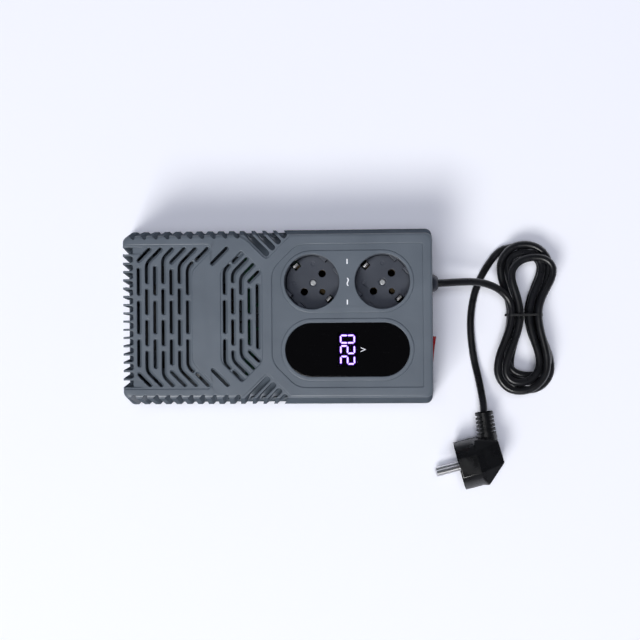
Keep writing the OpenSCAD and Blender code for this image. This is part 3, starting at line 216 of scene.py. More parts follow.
def tinted(tree, place, dark, light, size):
    """A colour that wanders between two tones over patches of this size in millimetres."""
    noise = add(tree, "ShaderNodeTexNoise", [("Vector", place)], Scale=1000 / size, Detail=2.0)
    ramp = add(tree, "ShaderNodeValToRGB", [("Fac", noise.outputs["Fac"])])
    ramp.color_ramp.elements[0].position = 0.3
    ramp.color_ramp.elements[0].color = colour(dark)
    ramp.color_ramp.elements[1].position = 0.7
    ramp.color_ramp.elements[1].color = colour(light)
    return ramp.outputs["Color"]


def grained(tree, place, size, depth, strength):
    """A bump of this grain size and depth in millimetres."""
    noise = add(tree, "ShaderNodeTexNoise", [("Vector", place)], Scale=1000 / size, Detail=3.0)
    bump = add(tree, "ShaderNodeBump", [("Height", noise.outputs["Fac"])],
               Strength=strength, Distance=depth * MM)
    return bump.outputs["Normal"]


def varied(tree, place, low, high, size):
    """A roughness that wanders between two values over patches of this size in millimetres."""
    noise = add(tree, "ShaderNodeTexNoise", [("Vector", place)], Scale=1000 / size, Detail=4.0)
    span = add(tree, "ShaderNodeMapRange", [("Value", noise.outputs["Fac"])],
               From_Min=0.3, From_Max=0.7, To_Min=low, To_Max=high)
    return span.outputs["Result"]


def weak_at_edges(tree):
    """Specular level of a grained face. Seen at a low angle, the grain's peaks hide its sheen."""
    facing = add(tree, "ShaderNodeLayerWeight", Blend=0.5).outputs["Facing"]
    span = add(tree, "ShaderNodeMapRange", [("Value", facing)], From_Min=0.45, From_Max=0.9,
               To_Min=0.5, To_Max=0.0)
    return span.outputs["Result"]


def moulded_plastic(name, dark, light, low, high, grain, depth, strength, patch=28):
    """Plastic from a mould, with a soft sheen: its tone wanders between two colours over patches, its
    roughness lies between low and high, and its grain has a size and a depth. Sizes are in millimetres."""
    material, tree, shader, place = new_material(name)
    tree.links.new(tinted(tree, place, dark, light, patch), shader.inputs["Base Color"])
    tree.links.new(varied(tree, place, low, high, 6), shader.inputs["Roughness"])
    tree.links.new(grained(tree, place, grain, depth, strength), shader.inputs["Normal"])
    # The socket's own value, 0.3, lies about the middle of what the link gives the render. The
    # export keeps only a plain value here, so it gets about the middle of what the render uses.
    shader.inputs["Specular IOR Level"].default_value = 0.3
    tree.links.new(weak_at_edges(tree), shader.inputs["Specular IOR Level"])
    shader.inputs["IOR"].default_value = 1.53
    return material


def worked_metal(name, tone, low, high, size, squeeze=(1, 1, 14)):
    """Plated or rolled metal: bright, with a pattern of this size in millimetres that blurs what it
    mirrors. Squeeze makes the pattern so many times finer along each axis, which turns it into lines."""
    material, tree, shader, place = new_material(name)
    lines = add(tree, "ShaderNodeMapping", [("Vector", place)], Scale=squeeze).outputs["Vector"]
    tree.links.new(varied(tree, lines, low, high, size), shader.inputs["Roughness"])
    tree.links.new(grained(tree, lines, size, 0.02, 0.4), shader.inputs["Normal"])
    shader.inputs["Base Color"].default_value = colour(tone)
    shader.inputs["Metallic"].default_value = 1.0
    return material


# Moulded ABS. Its spark-eroded grain of about 0.4 mm, drawn at 0.6 mm so that it shows, breaks the light
# up, so that the eye gets a satin grey with soft, wide highlights on the roundings.
case_abs = moulded_plastic("grey_moulded_abs", "#555D65", "#5D656D", 0.3, 0.4, 0.6, 0.05, 0.25)
# Urea from a polished mould, harder than ABS: darker than the case, partly its own tone and partly painted
# shade for the shadow deep in the bowls, with a clearer sheen there.
bowl_urea_painted_shade = moulded_plastic("urea_dark_with_painted_shade", "#383C44", "#3F434B", 0.3, 0.4, 0.9, 0.03, 0.25, 20)
# Nylon, moulded: half matt, because the material itself is a little cloudy.
black_nylon = moulded_plastic("black_moulded_nylon", "#101113", "#17181A", 0.38, 0.52, 0.7, 0.04, 0.3)
gland_nylon = moulded_plastic("dark_grey_gland_nylon", "#2E323A", "#363A43", 0.3, 0.4, 0.7, 0.04, 0.3)
black_bobbin = moulded_plastic("black_bobbin_nylon", "#151517", "#1C1C1E", 0.5, 0.62, 0.8, 0.04, 0.3)
# Soft PVC, moulded over the pins: nearly black, with an oily sheen that follows its ribs.
plug_pvc = moulded_plastic("black_moulded_pvc", "#07080A", "#0E0F11", 0.24, 0.34, 0.8, 0.05, 0.25, 12)
# Pressed rubber: dull and slightly rough, it hardly mirrors anything.
foot_rubber = moulded_plastic("black_foot_rubber", "#141416", "#1D1D1F", 0.7, 0.85, 0.5, 0.08, 0.5)
# Polyester cans of the relays and shrunk sleeves of the capacitors: smooth and glossy.
relay_plastic = moulded_plastic("black_relay_polyester", "#17181B", "#202125", 0.25, 0.35, 1.2, 0.02, 0.2)
sleeve_pvc = moulded_plastic("navy_capacitor_sleeve", "#171D33", "#20273F", 0.3, 0.4, 2, 0.02, 0.2)
# Pressed epoxy of the chip and the regulator: a flat matt black.
chip_epoxy = moulded_plastic("black_chip_epoxy", "#151517", "#1E1E20", 0.6, 0.75, 0.4, 0.05, 0.4)
terminal_nylon = moulded_plastic("green_terminal_nylon", "#235C3B", "#2E6E49", 0.4, 0.5, 0.8, 0.03, 0.3)
# Polyester tape, wound tight over the coil: glossy, with the turns of wire showing as waves below it.
winding_tape = moulded_plastic("yellow_polyester_tape", "#B5942F", "#CCAA44", 0.25, 0.38, 3, 0.05, 0.5)
# Enamelled wire of 1.1 mm, laid turn by turn: a reddish brown that glints on each turn.
enamelled_wire = moulded_plastic("enamelled_winding_under_tape", "#5B3018", "#7E4A2A", 0.3, 0.42, 1.1,
                                 0.2, 0.8)
# Extruded PVC of the single wires: one even colour with a soft line of light along it.
wire_brown = moulded_plastic("brown_wire_pvc", "#4E321D", "#5E3E26", 0.4, 0.5, 1, 0.02, 0.2)
wire_blue = moulded_plastic("blue_wire_pvc", "#1F3F7C", "#284A8C", 0.4, 0.5, 1, 0.02, 0.2)
wire_black = moulded_plastic("black_wire_pvc", "#141416", "#1D1D1F", 0.4, 0.5, 1, 0.02, 0.2)
# Dipped paint on the bracket: a slight orange peel of about 1.4 mm, which softens its sheen.
bracket_paint = moulded_plastic("black_bracket_paint", "#1C1D20", "#26272A", 0.4, 0.52, 1.4, 0.04, 0.4)
# Solder mask, screen printed over the copper: a dark green gloss that pools in patches of 5 mm.
board_mask = moulded_plastic("green_solder_mask", "#16402B", "#1E4F36", 0.25, 0.35, 2.5, 0.03, 0.4, 5)

# Nickel plate on brass pins and clips: a warm white metal whose drawn lines blur what it mirrors.
nickel = worked_metal("nickel_plated_brass", "#D8D8DA", 0.3, 0.46, 0.7)
# Zinc plate, tumbled: an even, milky grey.
zinc = worked_metal("zinc_plated_steel", "#D3D6DA", 0.42, 0.54, 0.5, (1, 1, 1))
# Brass, tinned on the clips and tabs. Deep in the sockets it is painted dark: painted shade for the shadow
# that fills the pin holes.
brass = worked_metal("tinned_brass", "#C2A871", 0.25, 0.4, 0.6)
painted_shade_brass = worked_metal("brass_in_painted_shade", "#4A4030", 0.5, 0.7, 0.8)
# Sheets of 0.5 mm, stacked and oiled, their edges drawn at 1 mm: dark, with fine stripes along the stack.
laminations = worked_metal("oiled_laminated_steel", "#4A4C50", 0.35, 0.55, 1.0, (14, 1, 1))
# Black anodised aluminium, extruded: a soft metallic black with lines along the fins.
dull_aluminium = worked_metal("black_anodised_aluminium", "#2C2D30", 0.4, 0.55, 0.8)


def window_acrylic():
    """Smoked acrylic, printed black from behind except over the digits: deep black with a sharp gloss.
    The clear part is 15.2 by 25.2 mm, round the window's middle."""
    material, tree, shader, place = new_material("smoked_acrylic")
    shader.inputs["IOR"].default_value = 1.49
    tree.links.new(varied(tree, place, 0.04, 0.08, 15), shader.inputs["Roughness"])
    axes = add(tree, "ShaderNodeSeparateXYZ", [("Vector", place)])
    inside = []
    for axis, middle, half in (("X", WINDOW.x, 7.6), ("Y", WINDOW.y, 12.6)):
        off = add(tree, "ShaderNodeMath", [(0, axes.outputs[axis])], operation="SUBTRACT")
        off.inputs[1].default_value = middle
        size = add(tree, "ShaderNodeMath", [(0, off.outputs[0])], operation="ABSOLUTE")
        near = add(tree, "ShaderNodeMath", [(0, size.outputs[0])], operation="LESS_THAN")
        near.inputs[1].default_value = half * MM
        inside.append(near.outputs[0])
    clear = add(tree, "ShaderNodeMath", [(0, inside[0]), (1, inside[1])], operation="MULTIPLY")
    tint = add(tree, "ShaderNodeMix", [("Factor", clear.outputs[0])], data_type="RGBA")
    tint.inputs["A"].default_value = colour("#050506")
    tint.inputs["B"].default_value = colour("#7A7486")
    tree.links.new(clear.outputs[0], shader.inputs["Transmission Weight"])
    tree.links.new(tint.outputs["Result"], shader.inputs["Base Color"])
    return material


def rocker_polycarbonate():
    """Clear red polycarbonate with a neon lamp behind it: glossy, and deep in its shaded parts."""
    material, tree, shader, place = new_material("red_polycarbonate")
    tree.links.new(tinted(tree, place, "#9A0508", "#B00B0D", 9), shader.inputs["Base Color"])
    tree.links.new(varied(tree, place, 0.14, 0.22, 5), shader.inputs["Roughness"])
    shader.inputs["IOR"].default_value = 1.58
    shader.inputs["Subsurface Weight"].default_value = 0.15
    shader.inputs["Subsurface Radius"].default_value = (0.004, 0.0006, 0.0006)
    shader.inputs["Coat Weight"].default_value = 0.3
    return material


def lit_segment():
    """Light from a diode behind a violet filter. The smoked lens takes half of it away again, so that the
    eye gets a nearly white core, a little uneven along each bar."""
    material, tree, shader, place = new_material("lit_violet_segment")
    tree.links.new(tinted(tree, place, "#EBD2FF", "#FBF2FF", 1.5), shader.inputs["Emission Color"])
    shader.inputs["Base Color"].default_value = colour("#2A2030")
    shader.inputs["Emission Strength"].default_value = 8.0
    return material


def halo_light():
    """Light that spreads in the filter round the segments: the eye gets a violet seam, which is gone
    after half a millimetre."""
    material, tree, shader, place = new_material("violet_filter_glow")
    edge = add(tree, "ShaderNodeAttribute", attribute_name="glow")
    fade = add(tree, "ShaderNodeMath", [(0, edge.outputs["Fac"])], operation="POWER")
    fade.inputs[1].default_value = 1.6
    tone = add(tree, "ShaderNodeMix", [("Factor", fade.outputs["Value"])], data_type="RGBA")
    tone.inputs["A"].default_value = colour("#000000")
    tone.inputs["B"].default_value = colour("#8424FF")
    tree.links.new(tone.outputs["Result"], shader.inputs["Emission Color"])
    tree.links.new(varied(tree, place, 0.5, 0.6, 3), shader.inputs["Roughness"])
    shader.inputs["Emission Strength"].default_value = 6.0
    shader.inputs["Base Color"].default_value = colour("#050506")
    return material


def printed_ink():
    """White pad print: matt, a little uneven."""
    material, tree, shader, place = new_material("white_pad_print")
    tree.links.new(tinted(tree, place, "#E6E7EA", "#F4F5F7", 1.5), shader.inputs["Base Color"])
    tree.links.new(varied(tree, place, 0.5, 0.65, 2), shader.inputs["Roughness"])
    return material


def fuse_glass():
    """Drawn glass tube with its metal thread inside, seen as a faint grey."""
    material, tree, shader, place = new_material("fuse_glass")
    tree.links.new(varied(tree, place, 0.03, 0.08, 8), shader.inputs["Roughness"])
    shader.inputs["Base Color"].default_value = colour("#DDE3E3")
    shader.inputs["Transmission Weight"].default_value = 0.8
    return material


def cord_sheath():
    """Extruded black PVC: an even satin sheath with faint lines along its length."""
    material, tree, shader, place = new_material("extruded_black_pvc")
    uv = add(tree, "ShaderNodeTexCoord").outputs["UV"]
    lines = add(tree, "ShaderNodeMapping", [("Vector", uv)], Scale=(260, 18, 1)).outputs["Vector"]
    noise = add(tree, "ShaderNodeTexNoise", [("Vector", lines)], Scale=1.0, Detail=3.0)
    bump = add(tree, "ShaderNodeBump", [("Height", noise.outputs["Fac"])],
               Strength=0.25, Distance=0.03 * MM)
    tree.links.new(bump.outputs["Normal"], shader.inputs["Normal"])
    tree.links.new(tinted(tree, place, "#0C0D0F", "#15161A", 14), shader.inputs["Base Color"])
    tree.links.new(varied(tree, place, 0.26, 0.38, 5), shader.inputs["Roughness"])
    shader.inputs["IOR"].default_value = 1.54
    return material


acrylic = window_acrylic()
polycarbonate = rocker_polycarbonate()
segment_light = lit_segment()
glow = halo_light()
ink = printed_ink()
glass = fuse_glass()
sheath = cord_sheath()


# Cord: one curve from the gland to the plug, in millimetres, with the hank's formula from the part's
# source. The hank is a loop pinched at its waist. Its layers are wound outwards and inwards in turn.

CORD_D = 5.8
HANK_X, HANK_Z = 193.5, 3.8  # the waist, and the height of the lowest layer's middle line
HANK_HALF, WAIST, BELLY = 47.0, 1.7, 27.0  # innermost loop: half length, half waist, swell of its lobes
LOOP_STEP, LAYER_STEP, LAYERS = 6.7, 6.3, 4  # from loop to loop, from layer to layer, and their number
HANK_START = 105  # where on the loop the tail comes in, in degrees
LOWEST_TURN, LAYER_TURN = 465, 540  # degrees of winding in the lowest layer, and in each other one
CLIMB = 90  # degrees of winding before and after a change of layer, in which the cord climbs
HANK_STEP = 15  # degrees of winding from one point of the curve to the next
HANK_END = LOWEST_TURN + LAYER_TURN * (LAYERS - 1)
# How far the two lobes of each layer lie off the lowest layer's, in x and in y, as hand-wound cord does.
UPPER_ASIDE = ((0, 3.8, -0.7, 5.8), (0, -2.8, -0.1, -7.4))
LOWER_ASIDE = ((0, 1.9, 0.3, -5.4), (0, -3.9, 4.6, -4.2))
LEAD = [(124.7, 24.4, 40), (127, 24.4, 40), (131, 24.6, 39.4), (137, 25.1, 37.9), (143, 25.4, 36),
        (149.5, 25.6, 33.5), (156, 25.2, 31), (161.4, 24.2, 28.8), (166.4, 22.5, 27), (171, 20.2, 25.4),
        (175, 17.3, 24.2), (178.2, 13.9, 23.2), (180.4, 10.3, 22.8), (181.5, 6.6, 22.7), (181.7, 3, 22.7)]
TAIL = [(176.7, 51.8, 3.8), (173, 49.2, 3.6), (169, 45, 3.4), (164.2, 38, 3.1), (158.8, 28.6, 3.1),
        (154.5, 17.5, 3.1), (151.9, 4.5, 3.1), (151.1, -8, 3.1), (152.1, -23, 3.1), (154.2, -37, 3.6),
        (156.4, -47, 6), (158.2, -57, 10.2), (159.5, -66, 14.3), (160.1, -71.5, 16.4), (160.1, -75.3, 17.2)]


def loop_point(a):
    """A point of the innermost loop, a degrees round it."""
    r = math.radians(a)
    return Vector((math.cos(r) * (WAIST + BELLY * math.sin(r) ** 2), HANK_HALF * math.sin(r)))


def hank_point(t):
    """A point of the hank t degrees of winding after the tail's end."""
    a = HANK_START - t
    along = (loop_point(a + 1) - loop_point(a - 1)).normalized()
    fold = abs((t - LOWEST_TURN + LAYER_TURN) % (2 * LAYER_TURN) - LAYER_TURN)
    out = LOOP_STEP * fold / 360
    layer = sum(max(0.0, min(1.0, (t - LOWEST_TURN - k * LAYER_TURN + CLIMB) / CLIMB / 2))
                for k in range(LAYERS - 1))
    at = loop_point(a)
    lobe = math.sin(math.radians(a))
    below = int(min(layer, LAYERS - 1))
    above = min(below + 1, LAYERS - 1)
    aside = [row[below] + (row[above] - row[below]) * (layer - below)
             for row in (UPPER_ASIDE if lobe > 0 else LOWER_ASIDE)]
    return Vector((HANK_X + at.x + along.y * out + aside[0] * lobe ** 2,
                   at.y - along.x * out + aside[1] * lobe ** 2,
                   HANK_Z + LAYER_STEP * layer))


def make_cord():
    """Makes the cord's curve, and works out its length in metres from the points of its route."""
    hank = [hank_point(t) for t in range(0, HANK_END + 1, HANK_STEP)]
    points = [Vector(p) for p in LEAD] + hank[::-1] + [Vector(p) for p in TAIL]
    curve = bpy.data.curves.new("mains_cord", "CURVE")
    curve.dimensions = "3D"
    spline = curve.splines.new("NURBS")
    spline.points.add(len(points) - 1)
    for place, p in zip(spline.points, points):
        place.co = (*(p * MM), 1)
    spline.order_u = 3
    spline.use_endpoint_u = True
    spline.resolution_u = 4
    curve.bevel_depth = CORD_D / 2 * MM
    curve.bevel_resolution = 4
    curve.use_fill_caps = True
    cord = bpy.data.objects.new("mains_cord", curve)
    bpy.context.collection.objects.link(cord)
    length = sum((b - a).length for a, b in zip(points, points[1:])) * MM
    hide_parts("cord_lead", "cord_hank", "cord_tail")
    finish(cord, sheath)
    return cord, length


cord, cord_length = make_cord()


# Case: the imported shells, with their moulded edges rounded over.

TOP = 0.0800
# The top face, and below it the vent panels, the socket panel and the corner notches.
LEVELS = [TOP - depth * MM for depth in (0, 0.7, 0.8, 1.8)]
BELOW_PANELS = TOP - 0.9 * MM  # under both panels, above the notches
DRAFT = 0.5
SLOT_LEDGE = TOP - 2.0 * MM
SLOT_SHOULDER, SLOT_FOOT = TOP - 1.35 * MM, TOP - 2.7 * MM  # where the slope of a slot begins and ends


def on_top(edge):
    """An outward edge that lies level in one of the top face's planes, except the outer rim's steps."""
    a, b = (v.co for v in edge.verts)
    level = abs(a.z - b.z) < SAME / 2 and any(abs(a.z - z) < SAME for z in LEVELS)
    flat = any(f.normal.z > 0.99 for f in edge.link_faces)
    return level and flat and sharp(edge, 40)


def draft_steps(piece):
    """Gives the shallow steps of the top face their drafted walls, 0.5 mm wider at the foot."""
    take(piece)
    bpy.ops.object.mode_set(mode="EDIT")
    mesh = bmesh.from_edit_mesh(piece.data)
    moves = {}
    for face in mesh.faces:
        heights = [v.co.z for v in face.verts]
        foot = min(heights)
        if abs(face.normal.z) > 0.01 or max(heights) > TOP + SAME or foot < BELOW_PANELS:
            continue
        for corner in face.verts:
            if abs(corner.co.z - foot) < SAME:
                moves.setdefault(corner, []).append(face.normal.copy())
    for corner, normals in moves.items():
        way = sum(normals, Vector()).normalized()
        corner.co += way * (DRAFT * MM / max(0.5, way.dot(normals[0])))
    bmesh.update_edit_mesh(piece.data)
    bpy.ops.object.mode_set(mode="OBJECT")


def draft_slots(piece):
    """Gives the vent slots their drafted sides: the ledge halfway down becomes a slope to the opening."""
    take(piece)
    bpy.ops.object.mode_set(mode="EDIT")
    mesh = bmesh.from_edit_mesh(piece.data)
    for corner in mesh.verts:
        if abs(corner.co.z - SLOT_LEDGE) > SAME:
            continue
        ends = [edge.other_vert(corner).co for edge in corner.link_edges]
        upright = [end.z for end in ends if (end.xy - corner.co.xy).length < SAME]
        if any(z > SLOT_LEDGE for z in upright):
            corner.co.z = SLOT_SHOULDER
        elif upright:
            corner.co.z = SLOT_FOOT
    bmesh.update_edit_mesh(piece.data)
    bpy.ops.object.mode_set(mode="OBJECT")


cover = merged_copy("top_cover")
draft_slots(cover)
draft_steps(cover)
round_edges(cover, on_top, 0.45, 3)
smooth(cover, 40)
finish(cover, case_abs)

tray = merged_copy("base_tray")
smooth(tray, 30)
finish(tray, case_abs)

feet = merged_copy("rubber_feet")
round_edges(feet, lambda e: sharp(e, 60), 0.6, 3)
smooth(feet)
finish(feet, foot_rubber)


# Sockets

SOCKET_FOOT = 0.0590  # just under the sockets' bodies, above their contacts' channels


def socket_rim(edge):
    return sharp(edge, 50) and all(v.co.z > SOCKET_FOOT for v in edge.verts)


# The bowls' dark urea is partly painted shade.
for name in ("socket_body_left", "socket_body_right"):
    bowl = merged_copy(name)
    round_edges(bowl, socket_rim, 0.25, 2)
    smooth(bowl)
    finish(bowl, bowl_urea_painted_shade)

straps = merged_copy("earth_straps")
round_edges(straps, lambda e: sharp(e, 60), 0.12, 2)
smooth(straps)
finish(straps, nickel)
# Only the two clips are polished. The flat of each strap, below the bowl's floor, gets the dark brass:
# painted shade for the shadow seen through the holes.
straps.data.materials.append(painted_shade_brass)
flat = min(v.co.z for v in straps.data.vertices) + 1.2 * MM
for face in straps.data.polygons:
    face.material_index = int(face.center.z < flat)


CROSS_TURN = 0.3  # how far a screw was left turned when it came tight, in radians


def recessed_screw(name, x, y, top, radius, height, shaft, length):
    """A pan head of this radius and height with a cross recess, and a shaft of its own radius below. The
    head's top lies at the height top, and the whole screw is length long, all in millimetres."""
    deselect()
    bpy.ops.mesh.primitive_cylinder_add(vertices=40, radius=radius * MM, depth=height * MM,
                                        location=(x * MM, y * MM, (top - height / 2) * MM))
    head = bpy.context.object
    head.name = name
    bpy.ops.object.mode_set(mode="EDIT")
    select_edges(head, lambda e: all(v.co.z > 0 for v in e.verts) and sharp(e, 60))
    bpy.ops.mesh.bevel(offset=0.45 * height * MM, segments=4, clamp_overlap=True)
    select_faces(head, lambda f: f.normal.z < -0.9)
    bpy.ops.mesh.inset(thickness=(radius - shaft) * MM)
    bpy.ops.mesh.extrude_region_move(TRANSFORM_OT_translate={"value": (0, 0, (height - length) * MM)})
    bpy.ops.object.mode_set(mode="OBJECT")
    settle(head)
    for turn in (CROSS_TURN, CROSS_TURN + math.pi / 2):
        deselect()
        bpy.ops.mesh.primitive_cube_add(size=1, location=(x * MM, y * MM, top * MM),
                                        rotation=(0, 0, turn))
        blade = bpy.context.object
        blade.scale = (radius * 1.25 * MM, radius * 0.3 * MM, height * 0.9 * MM)
        settle(blade)
        cut = head.modifiers.new("cross", "BOOLEAN")
        cut.object = blade
        cut.operation = "DIFFERENCE"
        take(head)
        bpy.ops.object.modifier_apply(modifier="cross")
        bpy.data.objects.remove(blade)
    return smooth(head)


def joined(pieces, name):
    """Makes one piece of several."""
    deselect()
    for piece in pieces:
        piece.select_set(True)
    bpy.context.view_layer.objects.active = pieces[0]
    bpy.ops.object.join()
    pieces[0].name = name
    return pieces[0]


low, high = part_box("socket_screws")
SOCKET_Y = (low[1] + high[1]) / 2 / MM
CENTRE_SCREW_R = 2.15
SOCKETS = (low[0] / MM + CENTRE_SCREW_R, high[0] / MM - CENTRE_SCREW_R)
screws = joined([recessed_screw("socket_screw", x, SOCKET_Y, top=high[2] / MM, radius=CENTRE_SCREW_R,
                                height=1.1, shaft=1.4, length=(high[2] - low[2]) / MM)
                 for x in SOCKETS], "socket_screws_finished")
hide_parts("socket_screws")
finish(screws, zinc)
# The contacts get the dark brass: painted shade for the shadow in the pin holes.
dress("socket_contacts", painted_shade_brass)

# The case screws hang head down. They are made head up, as far below the floor as they belong above it,
# and then turned over about the x axis, which brings them into their bores.
low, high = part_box("case_screws")
CASE_SCREWS = [(x, side * y) for x, y in ((-97.6, 46.0), (108.0, 56.0)) for side in (-1, 1)]
case_screws = joined([recessed_screw("case_screw", x, y, top=-low[2] / MM, radius=3.0, height=1.9,
                                     shaft=1.5, length=(high[2] - low[2]) / MM)
                      for x, y in CASE_SCREWS], "case_screws_finished")
case_screws.rotation_euler.x = math.pi
settle(case_screws)
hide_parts("case_screws")
finish(case_screws, zinc)


# Display

LENS_RIM = TOP - 1.0 * MM  # a height between the lens's lower and upper edge
GLOW_REACH = 0.55  # how far the light of a bar spreads round it

lens = merged_copy("display_window")
round_edges(lens, lambda e: sharp(e, 60) and all(v.co.z > LENS_RIM for v in e.verts), 0.3, 3)
smooth(lens)
finish(lens, acrylic)
dress("lit_digits", segment_light)
dress("digit_module", black_nylon)


def spread_light():
    """A thin skirt round each lit bar, on which the light of the bar fades away."""
    bars = copy_in_edit_mode("lit_digits", "digit_glow", 1)
    select_faces(bars, lambda f: f.normal.z < 0.9)
    bpy.ops.mesh.delete(type="FACE")
    mesh = bmesh.from_edit_mesh(bars.data)
    rims = [edge for edge in mesh.edges if edge.is_boundary]
    lit = mesh.verts.layers.float.new("glow")
    for corner in mesh.verts:
        corner[lit] = 1.0
    ways = {}
    for edge in rims:
        a, b = edge.verts
        middle = edge.link_faces[0].calc_center_median()
        side = (b.co - a.co).cross(Vector((0, 0, 1))).normalized()
        side = side if side.dot(a.co - middle) > 0 else -side
        for corner in (a, b):
            ways.setdefault(corner, []).append(side)
    outer = {}
    for corner, sides in ways.items():
        way = sum(sides, Vector()).normalized()
        outer[corner] = mesh.verts.new(corner.co + way * GLOW_REACH * MM / max(0.6, way.dot(sides[0])))
        outer[corner][lit] = 0.0
    inner = list(mesh.faces)
    for edge in rims:
        a, b = edge.verts
        skirt = mesh.faces.new((a, b, outer[b], outer[a]))
        skirt.normal_update()
        if skirt.normal.z < 0:
            skirt.normal_flip()
    bmesh.ops.delete(mesh, geom=inner, context="FACES_KEEP_BOUNDARY")
    bmesh.update_edit_mesh(bars.data)
    bpy.ops.object.mode_set(mode="OBJECT")
    return finish(bars, glow)


spread_light()


# Printed marks, all generic: dashes and the sign for alternating current between the sockets, the unit
# beside the digits, and the two signs of the switch.

INK = 0.02  # half the thickness of the print
MARK_X = 57.0  # middle between the two sockets


def printed(name, letters, place, size, turn, body=CASE):
    """Letters in white ink, lying in the plane that turn gives and reading along its x axis."""
    deselect()
    bpy.ops.object.text_add(location=[c * MM for c in place], rotation=[math.radians(a) for a in turn])
    mark = bpy.context.object
    mark.data.body = letters
    mark.data.size = size * MM
    mark.data.extrude = INK * MM
    mark.data.align_x = "CENTER"
    mark.data.align_y = "CENTER"
    bpy.ops.object.convert(target="MESH")
    mark.name = name
    settle(mark)
    return finish(mark, ink, body)


def dash(name, y0, y1):
    """A printed stroke of 0.9 mm from y0 to y1, with rounded corners."""
    deselect()
    bpy.ops.mesh.primitive_cube_add(size=1, location=(MARK_X * MM, (y0 + y1) / 2 * MM, TOP + INK * MM))
    mark = bpy.context.object
    mark.name = name
    mark.scale = (0.9 * MM, (y1 - y0) * MM, 2 * INK * MM)
    settle(mark)
    round_edges(mark, lambda e: abs(e.verts[0].co.z - e.verts[1].co.z) > INK * MM, 0.25, 3)
    return finish(mark, ink)


dash("upper_dash", 37.7, 41.3)
dash("lower_dash", 8.0, 11.6)
printed("alternating_current_sign", "~", (MARK_X, SOCKET_Y - 0.3, TOP / MM + INK), 11, (0, 0, 90))
printed("volt_sign", "V", (68.6, WINDOW.y / MM, window_high.z / MM + INK), 5.6, (0, 0, 90))


# Switch

FLANGE_BACK = 0.1185  # only the flange's outer edges lie in front of this
ROCKER_BACK = 0.1135  # just behind the middle of the rocker's pin
TILT = 7  # how far the rocker leans each way, in degrees

housing = merged_copy("switch_housing")
round_edges(housing, lambda e: sharp(e, 60) and all(v.co.x > FLANGE_BACK for v in e.verts), 0.35, 3)
smooth(housing)
finish(housing, black_nylon)
rocker = merged_copy("switch_rocker", ROCKER)
round_edges(rocker, lambda e: sharp(e, 25) and all(v.co.x > ROCKER_BACK for v in e.verts), 0.45, 3)
smooth(rocker)
finish(rocker, polycarbonate, ROCKER)
dress("switch_terminals", brass)

# The pin stands 6 mm behind the wall's outer face. The rocker's face curves a little, and under the signs
# it is 7.44 mm from the pin at the most.
PIN = Vector((119.987 - 6, -24.9, 42))
FACE = 7.44
for name, letters, along, size in (("on_sign", "I", 5.8, 6.5), ("off_sign", "O", -5.8, 5.5)):
    place = PIN + Euler((0, 0, math.radians(-TILT))).to_matrix() @ Vector((FACE + INK, along, 0))
    printed(name, letters, place, size, (90, 0, 90 - TILT), ROCKER)


# Gland, tie and plug

GLAND_Y, GLAND_Z = 24.4, 40
DOME_FOOT, DOME_TIP = 121.04, 124.64
WALL_X, WALL_LEAN = 120.1, 0.028  # the wall's outer face at the gland's middle, and its lean for each mm
DOME_SWELL, TIP_SHRINK = 1.08, 0.16  # how much wider the dome gets, and how much of that its tip loses


def swell_dome(gland):
    """Rounds the gland's dome and lets its foot meet the leaning wall without a groove."""
    for corner in gland.data.vertices:
        at = corner.co / MM
        if at.x < DOME_FOOT - 0.1:
            continue
        share = (at.x - DOME_FOOT) / (DOME_TIP - DOME_FOOT)
        to_wall = DOME_FOOT - WALL_X + WALL_LEAN * (at.z - GLAND_Z)
        grow = DOME_SWELL - TIP_SHRINK * share ** 2
        corner.co = Vector((at.x - to_wall * (1 - share), GLAND_Y + (at.y - GLAND_Y) * grow,
                            GLAND_Z + (at.z - GLAND_Z) * grow)) * MM


gland = merged_copy("cord_gland")
swell_dome(gland)
smooth(gland)
finish(gland, gland_nylon)
tie = merged_copy("cord_tie")
round_edges(tie, lambda e: sharp(e, 60), 0.12, 2)
smooth(tie)
finish(tie, black_nylon)

# The plug's short edges are the facets of its ribs and corners. Only its long ones are rounded.
SHORT_EDGE = 0.0025
plug = merged_copy("plug_body")
round_edges(plug, lambda e: sharp(e, 14) and e.calc_length() > SHORT_EDGE, 0.5, 3)
smooth(plug)
finish(plug, plug_pvc)

pins = merged_copy("plug_pins")
smooth(pins)
finish(pins, nickel)
strips = merged_copy("plug_earth_strips")
round_edges(strips, lambda e: sharp(e, 60), 0.15, 2)
smooth(strips)
finish(strips, nickel)


# Inside

for name, material in (
    ("display_board", board_mask), ("main_board", board_mask), ("board_screws", zinc),
    ("relays", relay_plastic), ("capacitors", sleeve_pvc),
    ("controller_chip", chip_epoxy), ("regulator", chip_epoxy), ("heatsink", dull_aluminium),
    ("sense_transformer", winding_tape), ("terminal_block", terminal_nylon), ("fuse_clips", brass),
    ("glass_fuse", glass), ("transformer_core", laminations), ("transformer_bobbin", black_bobbin),
    ("transformer_winding", enamelled_wire), ("transformer_bracket", bracket_paint),
    ("transformer_screws", zinc), ("cord_sheath", plug_pvc), ("cord_clamp", black_nylon),
    ("clamp_screws", zinc), ("cord_wires", wire_brown), ("switch_wires", wire_brown),
    ("socket_wires", wire_blue), ("transformer_leads", wire_black),
):
    dress(name, material)


# Floor and light

AIR = "#F2F4FF"  # the studio's pale air, which is what shows behind the object
FLOOR_NEAR, FLOOR_FAR = 0.45, 1.3  # the paper begins to fade here, and is gone there
WALL_LIGHT, CEILING_LIGHT = 0.24, 0.04

deselect()
bpy.ops.mesh.primitive_plane_add(size=6, location=(0.09, 0, 0))
floor = bpy.context.object
floor.name = "floor"


